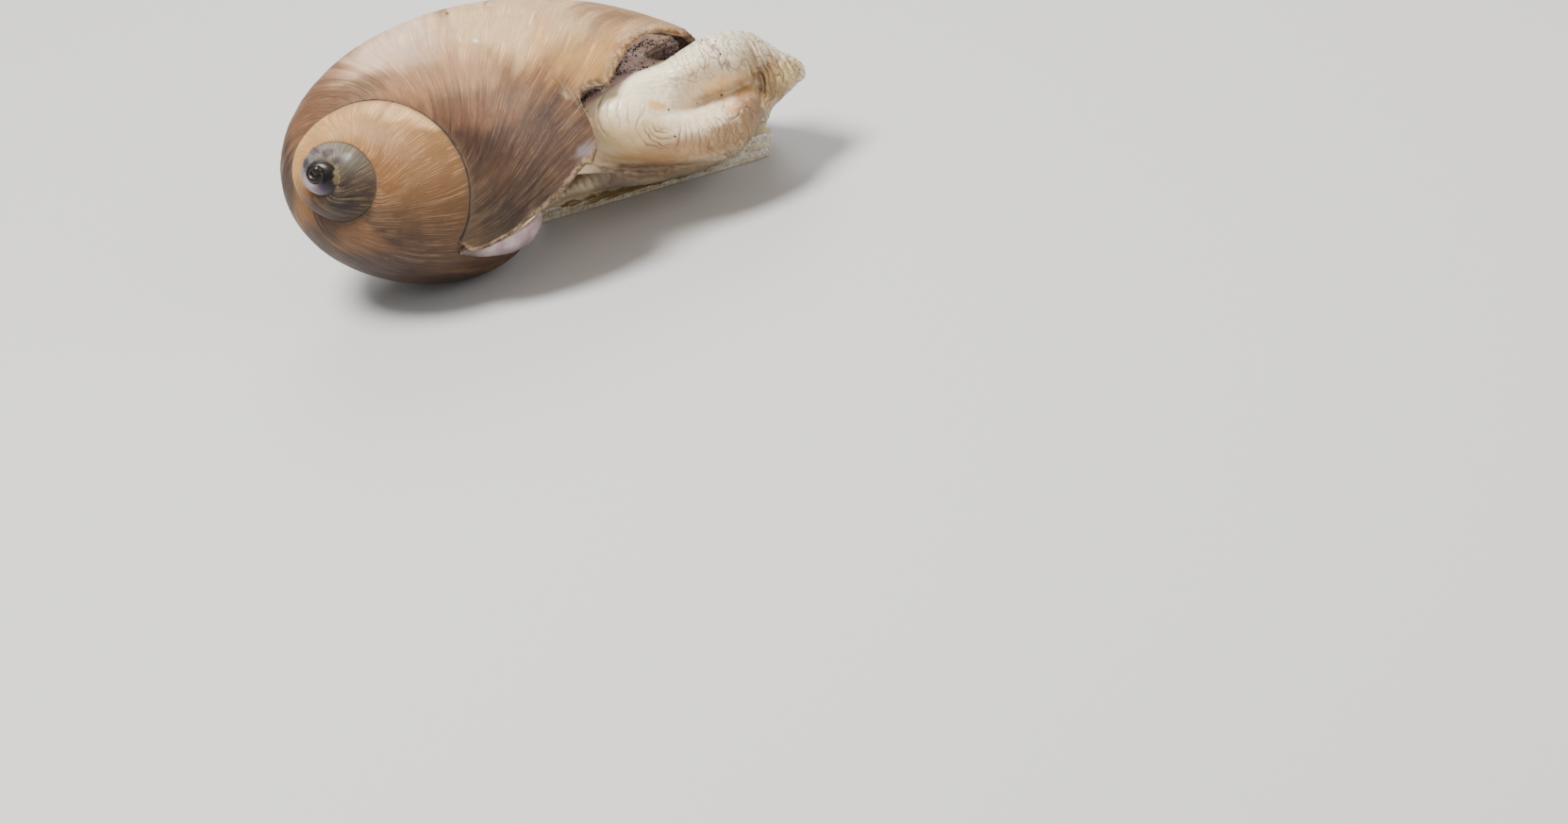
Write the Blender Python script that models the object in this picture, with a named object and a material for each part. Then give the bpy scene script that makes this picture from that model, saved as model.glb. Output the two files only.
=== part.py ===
"""Moon snail with its foot drawn half in: body whorl, spire, callus, operculum, mantle edge and foot.

The shell is a whorl tube that grows by a fixed ratio each turn around the coiling axis. The soft parts are
rolls lofted in the front frame: x to the right, y up and z out of the front of the animal, with the apex at
zero. One leaning turn then sets the front frame down on the floor.
"""
import math

import bmesh
import bpy
from mathutils import Matrix, Vector

# Driving dimensions of the shell, in metres, degrees and turns
GAP = 0.0003                  # clearance that touching nodes keep
SLIVER = 0.00001              # edges shorter than this are collapsed after a cut
NEAR_AXIS = 3.0               # clearance along the whorl over GAP, as points near the axis move less
JOIN_OVERLAP = 0.03           # turns by which joined lengths of whorl overlap
WHORL_HALF_WIDTH = 0.02444    # half width of the whorl where the suture ends
GROWTH_PER_TURN = 2.413       # how much the whorl grows each turn
SECTION_TALLNESS = 1.55       # height of the whorl section over its width
SECTION_LEAN = 9.2            # lean of the section's long axis
CENTRE_OUT = 0.745            # section centre from the coiling axis, in half widths
CENTRE_OUT_PER_TURN = -0.159  # change of that each turn
CENTRE_DOWN = 2.223           # section centre below the apex, in half widths
CENTRE_DOWN_PER_TURN = 0.062  # change of that each turn
UMBILICUS_RADIUS = 0.10       # free radius around the axis, in half widths
WALL = 0.0016                 # shell thickness at the aperture
APEX_TURN = -4.3              # the protoconch, in turns before the end of the suture
PROTOCONCH_RADIUS = 2.2       # in half widths of the whorl there
SPIRE_STARTS = (-2.35, -3.15, -3.95)   # where the lengths of the spire start
SPIRE_LENGTH = 0.85
SPIRE_TURN = -1.62            # where the spire passes into the body whorl
FIRST_JOIN = -1.05            # where the lengths of the body whorl are joined
LAST_JOIN = -0.56
SUTURE_BEARING = -26.5        # bearing of the suture's end about the axis
LIP_LAG = 97.0                # how far the outer lip lies behind the end of the suture
LIP_CORNER = 70.0             # section angle of the lip's corner at the suture
LIP_FULL = -30.0              # section angle where the lip reaches its full lag
LIP_INNER = -110.0            # section angle where the lip turns back along the columella
LIP_RETURN = 140.0            # section degrees over which its lag then ends
LIP_COUNT_START = -250.0      # section angles of the lip are counted from here, inside the coil
CHIP_ANGLE = 27.0             # section angle of the chip in the lip
CHIP_WIDTH = 5.0
CHIP_DEPTH = 14.0
CAVITY_REACH = 70.0           # how far the hollow reaches behind the lip
HOLLOW_PAST_LIP = 0.05        # turns by which its cutter passes the lip
MANTLE_RECESS = 4.0           # how far the mantle edge stays behind the lip
MANTLE_LENGTHWISE = 0.006     # turns by which it stops short of the end of the hollow
MANTLE_INSET = 0.00205        # from the outside of the shell, the wall and a clearance
UMBILICUS_FLOOR = 0.046       # depth below the apex where the umbilicus is stopped
COLUMELLA_BASE_RADIUS = 0.0034
COLUMELLA_TOP_RADIUS = 0.00102
COLUMELLA_TOP = 0.0107         # its top, below the apex
CALLUS_HALF_WIDTH = 9.0       # half width of the callus along the whorl, in degrees
CALLUS_THICKNESS = 0.0011
CALLUS_ANGLES = (8.0, -120.0)  # section angles of its ends
CALLUS_TURNS = (-0.988, -1.033)
CALLUS_ENDS = (0.12, 0.88)    # shares of a half sine that shape its width

# Pose: the coiling axis against the front, the stretch across the front and the lean onto the floor
AXIS_TILT = 41.6
AXIS_TURN = 184.25
AXIS_PHASE = -17.8
ELONGATION = 1.30
FRONT_ELEVATION = 25.0
FRONT_ROLL = 17.0
FLOOR_BELOW_APEX = 0.0357

# Operculum, on the floor beside the aperture
OPERCULUM_CENTRE = (0.0600, 0.0411)
OPERCULUM_HALF_LENGTH = 0.0235
OPERCULUM_HALF_WIDTH = 0.0135
OPERCULUM_THICKNESS = 0.0012
OPERCULUM_RIM = 0.0026        # height of the turned-up near edge at the pointed end
OPERCULUM_NEAR_BEND = 0.14     # the near edge is nearly straight
OPERCULUM_FAR_BEND = 0.80
OPERCULUM_TURN = -2.0
OPERCULUM_TAPER = 0.25         # how much narrower the pointed end is
OPERCULUM_STEPS = (1.0, 0.86, 0.5)   # rings of the plate, as shares of its size

# Rolls of the foot: (right, up, out, half height, half depth) in millimetres along each spine
MM = 0.001
MESOPODIUM = [(48.5, 10.4, -17.0, 1.5, 3.0), (52.8, 11.0, -14.0, 4.6, 7.5), (58.0, 10.7, -14.0, 6.8, 9.6),
              (63.0, 9.9, -15.0, 7.0, 10.2), (68.5, 8.3, -16.5, 5.8, 10.0), (74.0, 8.8, -17.5, 5.5, 9.6),
              (79.0, 11.2, -18.5, 5.2, 9.0), (83.5, 13.2, -19.5, 4.4, 7.5), (86.0, 14.4, -20.5, 1.6, 3.0)]
PROPODIUM = [(54.0, 12.6, -20.0, 2.0, 4.0), (60.0, 15.0, -22.0, 5.2, 11.0), (68.0, 19.5, -24.0, 6.2, 15.0),
             (72.8, 21.4, -25.0, 7.7, 17.0), (78.0, 21.8, -26.0, 6.9, 16.0), (82.8, 21.0, -27.0, 5.4, 12.0),
             (86.5, 19.6, -28.0, 1.8, 4.0)]
METAPODIUM = [(78.0, 17.8, -29.0, 3.0, 5.0), (82.0, 18.0, -28.0, 6.2, 9.5), (85.4, 18.4, -27.0, 6.6, 9.8),
              (88.0, 19.2, -26.5, 4.9, 7.5), (90.4, 19.9, -26.0, 2.9, 4.6), (92.2, 20.2, -26.0, 0.9, 1.6)]
SOLE_FOLDS = [(42.5, -5.0, -39.0, 1.0, 3.0), (49.0, -1.6, -38.0, 3.0, 8.5), (57.0, 1.6, -37.0, 3.7, 13.0),
              (66.0, 3.4, -36.5, 4.4, 14.5), (74.5, 5.6, -35.5, 4.4, 13.5), (81.5, 8.2, -34.0, 3.9, 10.5),
              (86.0, 10.0, -33.0, 1.6, 4.0)]
FOOT_COLUMN = [(42.0, 19.0, -36.0, 4.0, 5.0), (48.0, 16.5, -33.0, 9.5, 12.0),
               (56.0, 13.5, -29.5, 11.0, 14.0), (64.0, 12.0, -27.0, 10.0, 13.0),
               (71.0, 13.0, -27.0, 7.0, 10.0), (76.0, 14.0, -27.5, 2.0, 4.0)]
OPERCULAR_LOBE = [(46.0, 4.0, -45.0, 2.0, 3.0), (53.0, 6.0, -46.5, 6.5, 9.5), (62.0, 9.0, -47.0, 8.6, 12.5),
                  (71.5, 11.0, -46.0, 8.6, 12.5), (79.5, 13.0, -43.0, 6.6, 9.5),
                  (85.0, 14.5, -41.0, 2.0, 3.0)]

# Floor block that trims whatever reaches below the floor
FLOOR_BLOCK_SIZE = 0.4
FLOOR_BLOCK_CENTRE = (0.04, 0.02, -0.2)

# Mesh density
WHORL_SIDES = 40
INNER_SIDES = 34
SPIRE_SIDES = 24
EARLY_SIDES = 15
SPIRE_STEPS_PER_TURN = 24
EARLY_STEPS_PER_TURN = 20
HOLLOW_SIDES = 30
COLUMELLA_SIDES = 20
CALLUS_STATIONS = 16
CALLUS_SIDES = 12
OPERCULUM_SIDES = 40
SHOWN_FROM = -140.0
SHOWN_TO = 100.0
STEPS_PER_TURN = 34
ROLL_SIDES = 17
ROLL_STEPS = 3
SHARP_ANGLE = 40.0

COLOURS = {
    "shell_body_whorl": ((0.42, 0.30, 0.20), 0.45),
    "shell_spire": ((0.22, 0.22, 0.26), 0.40),
    "shell_callus": ((0.72, 0.64, 0.62), 0.25),
    "operculum": ((0.55, 0.48, 0.34), 0.50),
    "mantle_edge": ((0.48, 0.38, 0.36), 0.40),
    "foot_mesopodium": ((0.80, 0.72, 0.55), 0.40),
    "foot_propodium": ((0.80, 0.73, 0.58), 0.40),
    "foot_metapodium": ((0.62, 0.52, 0.34), 0.45),
    "foot_sole_folds": ((0.60, 0.55, 0.48), 0.40),
    "foot_column": ((0.66, 0.58, 0.48), 0.40),
    "foot_opercular_lobe": ((0.64, 0.56, 0.44), 0.40),
}


def clear_scene():
    for item in list(bpy.data.objects):
        bpy.data.objects.remove(item, do_unlink=True)


def new_collection(name):
    group = bpy.data.collections.new(name)
    bpy.context.scene.collection.children.link(group)
    return group


def principled(name, colour, roughness):
    material = bpy.data.materials.new(name)
    material.use_nodes = True
    shader = material.node_tree.nodes["Principled BSDF"]
    shader.inputs["Base Color"].default_value = (*colour, 1.0)
    shader.inputs["Roughness"].default_value = roughness
    shader.inputs["Metallic"].default_value = 0.0
    return material


def pose_matrix():
    """Turns front-frame places into world places."""
    lean = Matrix.Rotation(math.radians(90 - FRONT_ELEVATION), 4, "X")
    roll = Matrix.Rotation(math.radians(-FRONT_ROLL), 4, "Z")
    return Matrix.Translation((0, 0, FLOOR_BELOW_APEX)) @ lean @ roll


def shell_matrix():
    """Turns places around the coiling axis, apex up, into front-frame places."""
    tilt = math.radians(AXIS_TILT)
    turn = math.radians(AXIS_TURN)
    axis = Vector((math.sin(tilt) * math.cos(turn), math.sin(tilt) * math.sin(turn), math.cos(tilt)))
    side = (Vector((1, 0, 0)) - axis * axis.x).normalized()
    across = axis.cross(side)
    frame = Matrix((side, across, axis)).transposed().to_4x4()
    return Matrix.Diagonal((ELONGATION, 1, 1, 1)) @ frame


POSE = pose_matrix()
SHELL = POSE @ shell_matrix()


def whorl_scale(turn):
    return WHORL_HALF_WIDTH * GROWTH_PER_TURN ** turn


def section_place(turn, angle, inset=0.0):
    """Distance from the axis and depth below the apex, on the whorl section at a turn and section angle."""
    scale = whorl_scale(turn)
    half_width = scale - inset
    half_height = scale * SECTION_TALLNESS - inset
    lean = math.radians(SECTION_LEAN)
    out = half_width * math.cos(angle)
    up = half_height * math.sin(angle)
    radius = scale * (CENTRE_OUT + CENTRE_OUT_PER_TURN * turn) + out * math.cos(lean) - up * math.sin(lean)
    depth = scale * (CENTRE_DOWN + CENTRE_DOWN_PER_TURN * turn) - out * math.sin(lean) - up * math.cos(lean)
    return max(radius, scale * UMBILICUS_RADIUS + inset), depth


def whorl_point(turn, angle, inset=0.0):
    radius, depth = section_place(turn, angle, inset)
    bearing = math.radians(SUTURE_BEARING + AXIS_PHASE - 360 * turn)
    return SHELL @ Vector((radius * math.cos(bearing), radius * math.sin(bearing), -depth))


def lip_turn(angle):
    """Turn where the whorl ends at a section angle: at the suture corner first, then ever further back."""
    degrees = (math.degrees(angle) - LIP_COUNT_START) % 360 + LIP_COUNT_START
    rise = min(max((LIP_CORNER - degrees) / (LIP_CORNER - LIP_FULL), 0), 1)
    fall = min(max((LIP_INNER - degrees) / LIP_RETURN, 0), 1)
    lag = LIP_LAG * math.sin(math.pi / 2 * rise) * math.cos(math.pi / 2 * fall) ** 2
    chip = CHIP_DEPTH * math.exp(-((degrees - CHIP_ANGLE) / CHIP_WIDTH) ** 2)
    return -(lag + chip) / 360


def finish_object(mesh_builder, name, collection):
    """Makes an object of a bmesh, with its faces turned outward and shaded smooth."""
    bmesh.ops.recalc_face_normals(mesh_builder, faces=mesh_builder.faces)
    mesh = bpy.data.meshes.new(name)
    mesh_builder.to_mesh(mesh)
    mesh_builder.free()
    mesh.shade_smooth()
    item = bpy.data.objects.new(name, mesh)
    collection.objects.link(item)
    return item


def loft(name, rings, collection, start_hub, end_hub):
    """A closed body through rings of points, with a fan to a hub point at each end."""
    builder = bmesh.new()
    rows = [[builder.verts.new(point) for point in ring] for ring in rings]
    for row, following in zip(rows, rows[1:]):
        for i in range(len(row)):
            j = (i + 1) % len(row)
            builder.faces.new((row[i], row[j], following[j], following[i]))
    for row, hub in ((rows[0], start_hub), (rows[-1], end_hub)):
        centre = builder.verts.new(hub)
        for i in range(len(row)):
            builder.faces.new((row[i], row[(i + 1) % len(row)], centre))
    bmesh.ops.triangulate(builder, faces=builder.faces)
    return finish_object(builder, name, collection)


def section_angles(sides):
    """Section angles: close together where the whorl shows and far apart where the coil hides it."""
    shown = sides * 6 // 7
    hidden = sides - shown
    open_angles = [SHOWN_FROM + (SHOWN_TO - SHOWN_FROM) * i / shown for i in range(shown)]
    hidden_angles = [SHOWN_TO + (360 + SHOWN_FROM - SHOWN_TO) * i / hidden for i in range(hidden)]
    return [math.radians(angle) for angle in open_angles + hidden_angles]


def whorl_tube(name, start, end, collection, inset=0.0, sides=WHORL_SIDES, steps_per_turn=STEPS_PER_TURN):
    """A length of whorl; end is a turn, or a function that gives the last turn at each section angle."""
    angles = section_angles(sides)
    last = [end(angle) if callable(end) else end for angle in angles]
    steps = max(4, round((max(last) - start) * steps_per_turn))
    rings = []
    for step in range(steps + 1):
        share = step / steps
        rings.append([whorl_point(start + (turn - start) * share, angle, inset)
                      for angle, turn in zip(angles, last)])
    hubs = [sum(ring, Vector()) / sides for ring in (rings[0], rings[-1])]
    return loft(name, rings, collection, *hubs)


def columella(name, collection, grow):
    """The cone of shell that fills the middle of the coil down to the floor of the umbilicus."""
    middle = Matrix.Translation((0, 0, -(COLUMELLA_TOP + UMBILICUS_FLOOR) / 2))
    builder = bmesh.new()
    bmesh.ops.create_cone(builder, cap_ends=True, segments=COLUMELLA_SIDES, matrix=SHELL @ middle,
                          radius1=COLUMELLA_BASE_RADIUS + grow, radius2=COLUMELLA_TOP_RADIUS + grow,
                          depth=UMBILICUS_FLOOR - COLUMELLA_TOP + 2 * grow)
    return finish_object(builder, name, collection)


def remove(items):
    for item in items:
        bpy.data.objects.remove(item, do_unlink=True)


def apply_modifiers(item):
    evaluated = item.evaluated_get(bpy.context.evaluated_depsgraph_get())
    mesh = bpy.data.meshes.new_from_object(evaluated)
    item.modifiers.clear()
    item.data = mesh
    return item


def join(item, others):
    """One Boolean union with a collection of closed meshes, applied; those meshes are then removed."""
    group = new_collection("operands")
    for other in others:
        group.objects.link(other)
    modifier = item.modifiers.new("join", "BOOLEAN")
    modifier.operation = "UNION"
    modifier.operand_type = "COLLECTION"
    modifier.collection = group
    modifier.solver = "MANIFOLD"
    apply_modifiers(item)
    remove(others)
    bpy.data.collections.remove(group)
    return item


def cut(item, cutters):
    """Takes each cutter away in turn and removes it."""
    for cutter in cutters:
        cutter.hide_render = True
        cutter.display_type = "WIRE"
        modifier = item.modifiers.new("cut", "BOOLEAN")
        modifier.operation = "DIFFERENCE"
        modifier.object = cutter
        modifier.solver = "MANIFOLD"
        apply_modifiers(item)
    remove(cutters)
    return item


def collapse_slivers(builder):
    """Collapses edges that are too short, wherever the surface stays closed without them."""
    found = True
    while found:
        found = False
        for edge in sorted(builder.edges, key=lambda edge: edge.calc_length()):
            if not edge.is_valid or edge.calc_length() > SLIVER:
                continue
            first, second = edge.verts
            around_first = {link.other_vert(first) for link in first.link_edges}
            around_second = {link.other_vert(second) for link in second.link_edges}
            if len(around_first & around_second) == 2:
                bmesh.ops.collapse(builder, edges=[edge])
                found = True
                break


def keep_largest(item):
    """Welds the slivers that a cut leaves and keeps only the largest closed surface."""
    builder = bmesh.new()
    builder.from_mesh(item.data)
    bmesh.ops.triangulate(builder, faces=builder.faces)
    collapse_slivers(builder)
    unseen = set(builder.verts)
    islands = []
    while unseen:
        island = {unseen.pop()}
        front = list(island)
        while front:
            for edge in front.pop().link_edges:
                for vert in edge.verts:
                    if vert in unseen:
                        unseen.discard(vert)
                        island.add(vert)
                        front.append(vert)
        islands.append(island)
    islands.sort(key=len)
    for island in islands[:-1]:
        bmesh.ops.delete(builder, geom=list(island), context="VERTS")
    builder.to_mesh(item.data)
    builder.free()
    item.data.shade_smooth()
    item.data.set_sharp_from_angle(angle=math.radians(SHARP_ANGLE))
    return item


def turn_share(distance, turn=0.0):
    """Turns that clear a small distance along the whorl, also near the axis."""
    return NEAR_AXIS * distance / (whorl_scale(turn) * math.tau)


def inner_whorls(work, grow):
    """The whorls before the last half turn and the columella, as bodies to join or to cut with."""
    margin = turn_share(grow)
    return [whorl_tube("whorl_before", FIRST_JOIN - JOIN_OVERLAP - margin, LAST_JOIN + JOIN_OVERLAP + margin,
                       work, -grow),
            whorl_tube("whorl_before_that", SPIRE_TURN - turn_share(grow, SPIRE_TURN), FIRST_JOIN + margin,
                       work, -grow, INNER_SIDES),
            columella("columella", work, grow)]


def shell_solid(name, collection, work, grow=0.0):
    """The body whorl, hollow behind the lip; grow makes the cutter that keeps neighbours clear."""
    margin = turn_share(grow)

    def lip(angle):
        return lip_turn(angle) + margin

    def past_lip(angle):
        return lip_turn(angle) + HOLLOW_PAST_LIP

    item = whorl_tube(name, LAST_JOIN - margin, lip, collection, -grow)
    hollow_start = -(LIP_LAG + CAVITY_REACH) / 360 + margin
    hollow = whorl_tube("hollow", hollow_start, past_lip, work, WALL + grow, HOLLOW_SIDES)
    cut(item, [hollow])
    return join(item, inner_whorls(work, grow))


def spire_solid(collection, work):
    """The early whorls, down to where the body whorl begins."""
    item = whorl_tube("shell_spire", SPIRE_STARTS[0], SPIRE_TURN + JOIN_OVERLAP, collection, 0.0,
                      SPIRE_SIDES, SPIRE_STEPS_PER_TURN)
    early = [whorl_tube("early_whorl", start, start + SPIRE_LENGTH, work, 0.0, EARLY_SIDES,
                        EARLY_STEPS_PER_TURN)
             for start in SPIRE_STARTS[1:]]
    builder = bmesh.new()
    centre = sum((whorl_point(APEX_TURN, math.pi / 2 * k) for k in range(4)), Vector()) / 4
    bmesh.ops.create_icosphere(builder, subdivisions=2, radius=whorl_scale(APEX_TURN) * PROTOCONCH_RADIUS,
                               matrix=Matrix.Translation(centre))
    early.append(finish_object(builder, "protoconch", work))
    return join(item, early)


def smooth_spine(stations, steps=ROLL_STEPS):
    """Catmull-Rom interpolation of the stations of a roll."""
    result = []
    padded = [stations[0]] + list(stations) + [stations[-1]]
    for before, start, end, after in zip(padded, padded[1:], padded[2:], padded[3:]):
        for step in range(steps):
            t = step / steps
            result.append([0.5 * (2 * b + (c - a) * t + (2 * a - 5 * b + 4 * c - d) * t * t
                                  + (3 * b - a - 3 * c + d) * t ** 3)
                           for a, b, c, d in zip(before, start, end, after)])
    result.append(list(stations[-1]))
    return result


def roll(name, stations, collection, grow=0.0):
    """A soft roll along its spine, oval across, in the front frame."""
    spine = smooth_spine(stations)
    rings = []
    for i, (right, up, out, half_height, half_depth) in enumerate(spine):
        before = spine[max(i - 1, 0)]
        after = spine[min(i + 1, len(spine) - 1)]
        along = Vector((after[0] - before[0], after[1] - before[1], 0)).normalized()
        across = Vector((-along.y, along.x, 0))
        centre = Vector((right, up, out))
        ring = []
        for side in range(ROLL_SIDES):
            angle = math.tau * side / ROLL_SIDES
            offset = across * (half_height + grow / MM) * math.cos(angle)
            offset += Vector((0, 0, 1)) * (half_depth + grow / MM) * math.sin(angle)
            ring.append(POSE @ ((centre + offset) * MM))
        rings.append(ring)
    ends = []
    for first, second in ((spine[0], spine[1]), (spine[-1], spine[-2])):
        outward = (Vector(first[:3]) - Vector(second[:3])).normalized() * (first[3] * 0.5 + grow / MM)
        ends.append(POSE @ ((Vector(first[:3]) + outward) * MM))
    return loft(name, rings, collection, *ends)


def between(ends, share):
    return ends[0] + (ends[1] - ends[0]) * share


def callus_solid(name, collection, grow=0.0):
    """The glossy pad on the inner wall of the aperture, from the suture corner down to the umbilicus."""
    rings = []
    for station in range(CALLUS_STATIONS + 1):
        share = station / CALLUS_STATIONS
        angle = math.radians(between(CALLUS_ANGLES, share))
        half = CALLUS_HALF_WIDTH / 360 * math.sin(math.pi * between(CALLUS_ENDS, share)) + turn_share(grow)
        ring = []
        for side in range(CALLUS_SIDES):
            around = math.tau * side / CALLUS_SIDES
            turn = between(CALLUS_TURNS, share) + half * math.cos(around)
            ring.append(whorl_point(turn, angle, -(CALLUS_THICKNESS + grow) * math.sin(around)))
        rings.append(ring)
    hubs = [sum(ring, Vector()) / len(ring) for ring in (rings[0], rings[-1])]
    return loft(name, rings, collection, *hubs)


def mantle_solid(name, collection, grow=0.0):
    """The mantle edge, which fills the aperture a little way behind the lip."""
    margin = 2 * turn_share(grow)
    start = -(LIP_LAG + CAVITY_REACH) / 360 + MANTLE_LENGTHWISE

    def edge(angle):
        return lip_turn(angle) - MANTLE_RECESS / 360 + margin

    return whorl_tube(name, start, edge, collection, MANTLE_INSET - grow, HOLLOW_SIDES)


def operculum_solid(name, collection, grow=0.0):
    """The horny lid: a thin ear-shaped plate on the floor with its near edge turned up."""
    turn = Matrix.Rotation(math.radians(OPERCULUM_TURN), 4, "Z")
    place = Matrix.Translation((*OPERCULUM_CENTRE, 0)) @ turn
    rings = []
    for share in OPERCULUM_STEPS:
        top = []
        bottom = []
        for side in range(OPERCULUM_SIDES):
            angle = math.tau * side / OPERCULUM_SIDES
            long_way = math.cos(angle)
            bend = OPERCULUM_NEAR_BEND if math.sin(angle) < 0 else OPERCULUM_FAR_BEND
            wide_way = math.copysign(abs(math.sin(angle)) ** bend, math.sin(angle))
            taper = 1 - OPERCULUM_TAPER * long_way
            x = (OPERCULUM_HALF_LENGTH + grow) * share * long_way
            y = (OPERCULUM_HALF_WIDTH + grow) * share * wide_way * (taper if wide_way > 0 else 1)
            turned_up = share == OPERCULUM_STEPS[0] or grow
            rim = OPERCULUM_RIM * max(-wide_way, 0) * (1 + long_way) / 2
            thickness = OPERCULUM_THICKNESS + (rim if turned_up else 0)
            top.append(place @ Vector((x, y, thickness + grow)))
            bottom.append(place @ Vector((x, y, -grow)))
        rings.append((top, bottom))
    rows = [rings[2][0], rings[1][0], rings[0][0], rings[0][1], rings[1][1], rings[2][1]]
    return loft(name, rows, collection, place @ Vector((0, 0, OPERCULUM_THICKNESS + grow)),
                place @ Vector((0, 0, -grow)))


def floor_block(work):
    """Everything below the floor, as a cutter."""
    builder = bmesh.new()
    bmesh.ops.create_cube(builder, size=FLOOR_BLOCK_SIZE, matrix=Matrix.Translation(FLOOR_BLOCK_CENTRE))
    return finish_object(builder, "floor_block", work)


def stand_on_origin(items):
    """Moves the animal so that its box stands on the origin."""
    points = [item.matrix_world @ vert.co for item in items for vert in item.data.vertices]
    low = Vector([min(point[k] for point in points) for k in range(3)])
    high = Vector([max(point[k] for point in points) for k in range(3)])
    shift = Matrix.Translation((-(low.x + high.x) / 2, -(low.y + high.y) / 2, -low.z))
    for item in items:
        item.data.transform(shift)


def main():
    clear_scene()
    snail = new_collection("moon_snail")
    work = new_collection("cutters")
    body = shell_solid("shell_body_whorl", snail, work)
    spire = spire_solid(snail, work)
    cut(spire, inner_whorls(work, GAP) + [shell_solid("shell_cutter", work, work, GAP)])
    callus = callus_solid("shell_callus", snail)
    mantle = mantle_solid("mantle_edge", snail)
    lid = operculum_solid("operculum", snail)
    makers = {
        "foot_column": lambda name, group, grow: roll(name, FOOT_COLUMN, group, grow),
        "foot_mesopodium": lambda name, group, grow: roll(name, MESOPODIUM, group, grow),
        "foot_propodium": lambda name, group, grow: roll(name, PROPODIUM, group, grow),
        "foot_metapodium": lambda name, group, grow: roll(name, METAPODIUM, group, grow),
        "foot_sole_folds": lambda name, group, grow: roll(name, SOLE_FOLDS, group, grow),
        "foot_opercular_lobe": lambda name, group, grow: roll(name, OPERCULAR_LOBE, group, grow),
    }
    cut(callus, [shell_solid("shell_cutter", work, work, GAP)])
    cut(mantle, inner_whorls(work, GAP) + [callus_solid("callus_cutter", work, GAP)])
    cut(lid, [shell_solid("shell_cutter", work, work, GAP)])
    finished = [body, spire, callus, mantle, lid]
    placed = []
    for name, maker in makers.items():
        item = maker(name, snail, 0.0)
        cutters = [shell_solid("shell_cutter", work, work, GAP), callus_solid("callus_cutter", work, GAP),
                   mantle_solid("mantle_cutter", work, GAP), operculum_solid("lid_cutter", work, GAP)]
        cutters += [makers[other](other + "_cutter", work, GAP) for other in placed]
        cut(item, cutters)
        placed.append(name)
        finished.append(item)
    for item in finished:
        if item is not lid:
            cut(item, [floor_block(work)])
        keep_largest(item)
        item.data.materials.clear()
        item.data.materials.append(principled(item.name, *COLOURS[item.name]))
    stand_on_origin(finished)


main()
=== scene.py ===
"""Looks of the moon snail: fine shell, callus, operculum, one skin for all soft parts, sand and lights.

Places are worked out in three frames. Around the coiling axis, a place on the shell is a turn and a section
angle. The front frame has x to the right, y up and z towards the viewer of the photographed side, with the
apex at zero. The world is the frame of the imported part.
"""

import math

import bmesh
import bpy
import numpy as np
from mathutils import Matrix, Vector
from mathutils.bvhtree import BVHTree


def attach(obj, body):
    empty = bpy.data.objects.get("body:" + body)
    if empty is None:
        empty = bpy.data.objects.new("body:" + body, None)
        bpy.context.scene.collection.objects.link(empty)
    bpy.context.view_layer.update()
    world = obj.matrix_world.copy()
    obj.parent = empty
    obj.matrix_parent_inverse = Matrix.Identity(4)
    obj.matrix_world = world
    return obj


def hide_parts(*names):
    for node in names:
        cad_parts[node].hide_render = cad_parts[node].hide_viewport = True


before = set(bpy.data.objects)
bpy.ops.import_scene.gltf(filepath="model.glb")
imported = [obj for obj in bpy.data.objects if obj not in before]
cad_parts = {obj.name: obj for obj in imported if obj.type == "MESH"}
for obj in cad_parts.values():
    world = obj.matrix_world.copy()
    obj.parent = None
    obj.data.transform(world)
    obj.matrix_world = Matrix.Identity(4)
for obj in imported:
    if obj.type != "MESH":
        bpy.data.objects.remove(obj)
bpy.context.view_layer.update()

MM = 0.001

# Shell, with the same values as the solids
WHORL_HALF_WIDTH = 0.02444
GROWTH_PER_TURN = 2.413
SECTION_TALLNESS = 1.55
SECTION_LEAN = 9.2
CENTRE_OUT = 0.745
CENTRE_OUT_PER_TURN = -0.159
CENTRE_DOWN = 2.223
CENTRE_DOWN_PER_TURN = 0.062
UMBILICUS_RADIUS = 0.10
WALL = 0.0016
APEX_TURN = -4.3
PROTOCONCH_RADIUS = 2.2
SUTURE_BEARING = -26.5
LIP_LAG = 97.0
LIP_COUNT_START = -250.0
CAVITY_REACH = 70.0
HOLLOW_START = -(LIP_LAG + CAVITY_REACH) / 360
UMBILICUS_FLOOR = 0.046
COLUMELLA_BASE_RADIUS = 0.0034
COLUMELLA_TOP_RADIUS = 0.00102
COLUMELLA_TOP = 0.0107
CALLUS_HALF_WIDTH = 9.0
CALLUS_THICKNESS = 0.0011
CALLUS_ANGLES = (8.0, -120.0)
CALLUS_TURNS = (-0.988, -1.033)
CALLUS_ENDS = (0.12, 0.88)
# Metres along the last whorl for one turn
SPAN = math.tau * WHORL_HALF_WIDTH * 1.5

# Pose, with the same values as the solids
AXIS_TILT = 41.6
AXIS_TURN = 184.25
AXIS_PHASE = -17.8
ELONGATION = 1.30
FRONT_ELEVATION = 25.0
FRONT_ROLL = 17.0
FLOOR_BELOW_APEX = 0.0357
STAND_SHIFT = (-0.043889, -0.023069, 0.0)

# Camera: pixels a millimetre, the apex's pixel and the frame's size
FRAME_SIZE = (1662, 873)
APEX_PIXEL = (334.3, 187.2)
PIXELS_PER_MM = 5.6
LENS = 250.0
SENSOR = 36.0
FOCUS_DEPTH = -18.0

# Operculum, with the same values as the solids
OPERCULUM_CENTRE = (0.0600, 0.0411)
OPERCULUM_HALF_LENGTH = 0.0235
OPERCULUM_HALF_WIDTH = 0.0135
OPERCULUM_THICKNESS = 0.0012
OPERCULUM_NEAR_BEND = 0.14
OPERCULUM_FAR_BEND = 0.80
OPERCULUM_TURN = -2.0
OPERCULUM_TAPER = 0.25


def rotation(degrees, axis):
    return Matrix.Rotation(math.radians(degrees), 4, axis)


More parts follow.
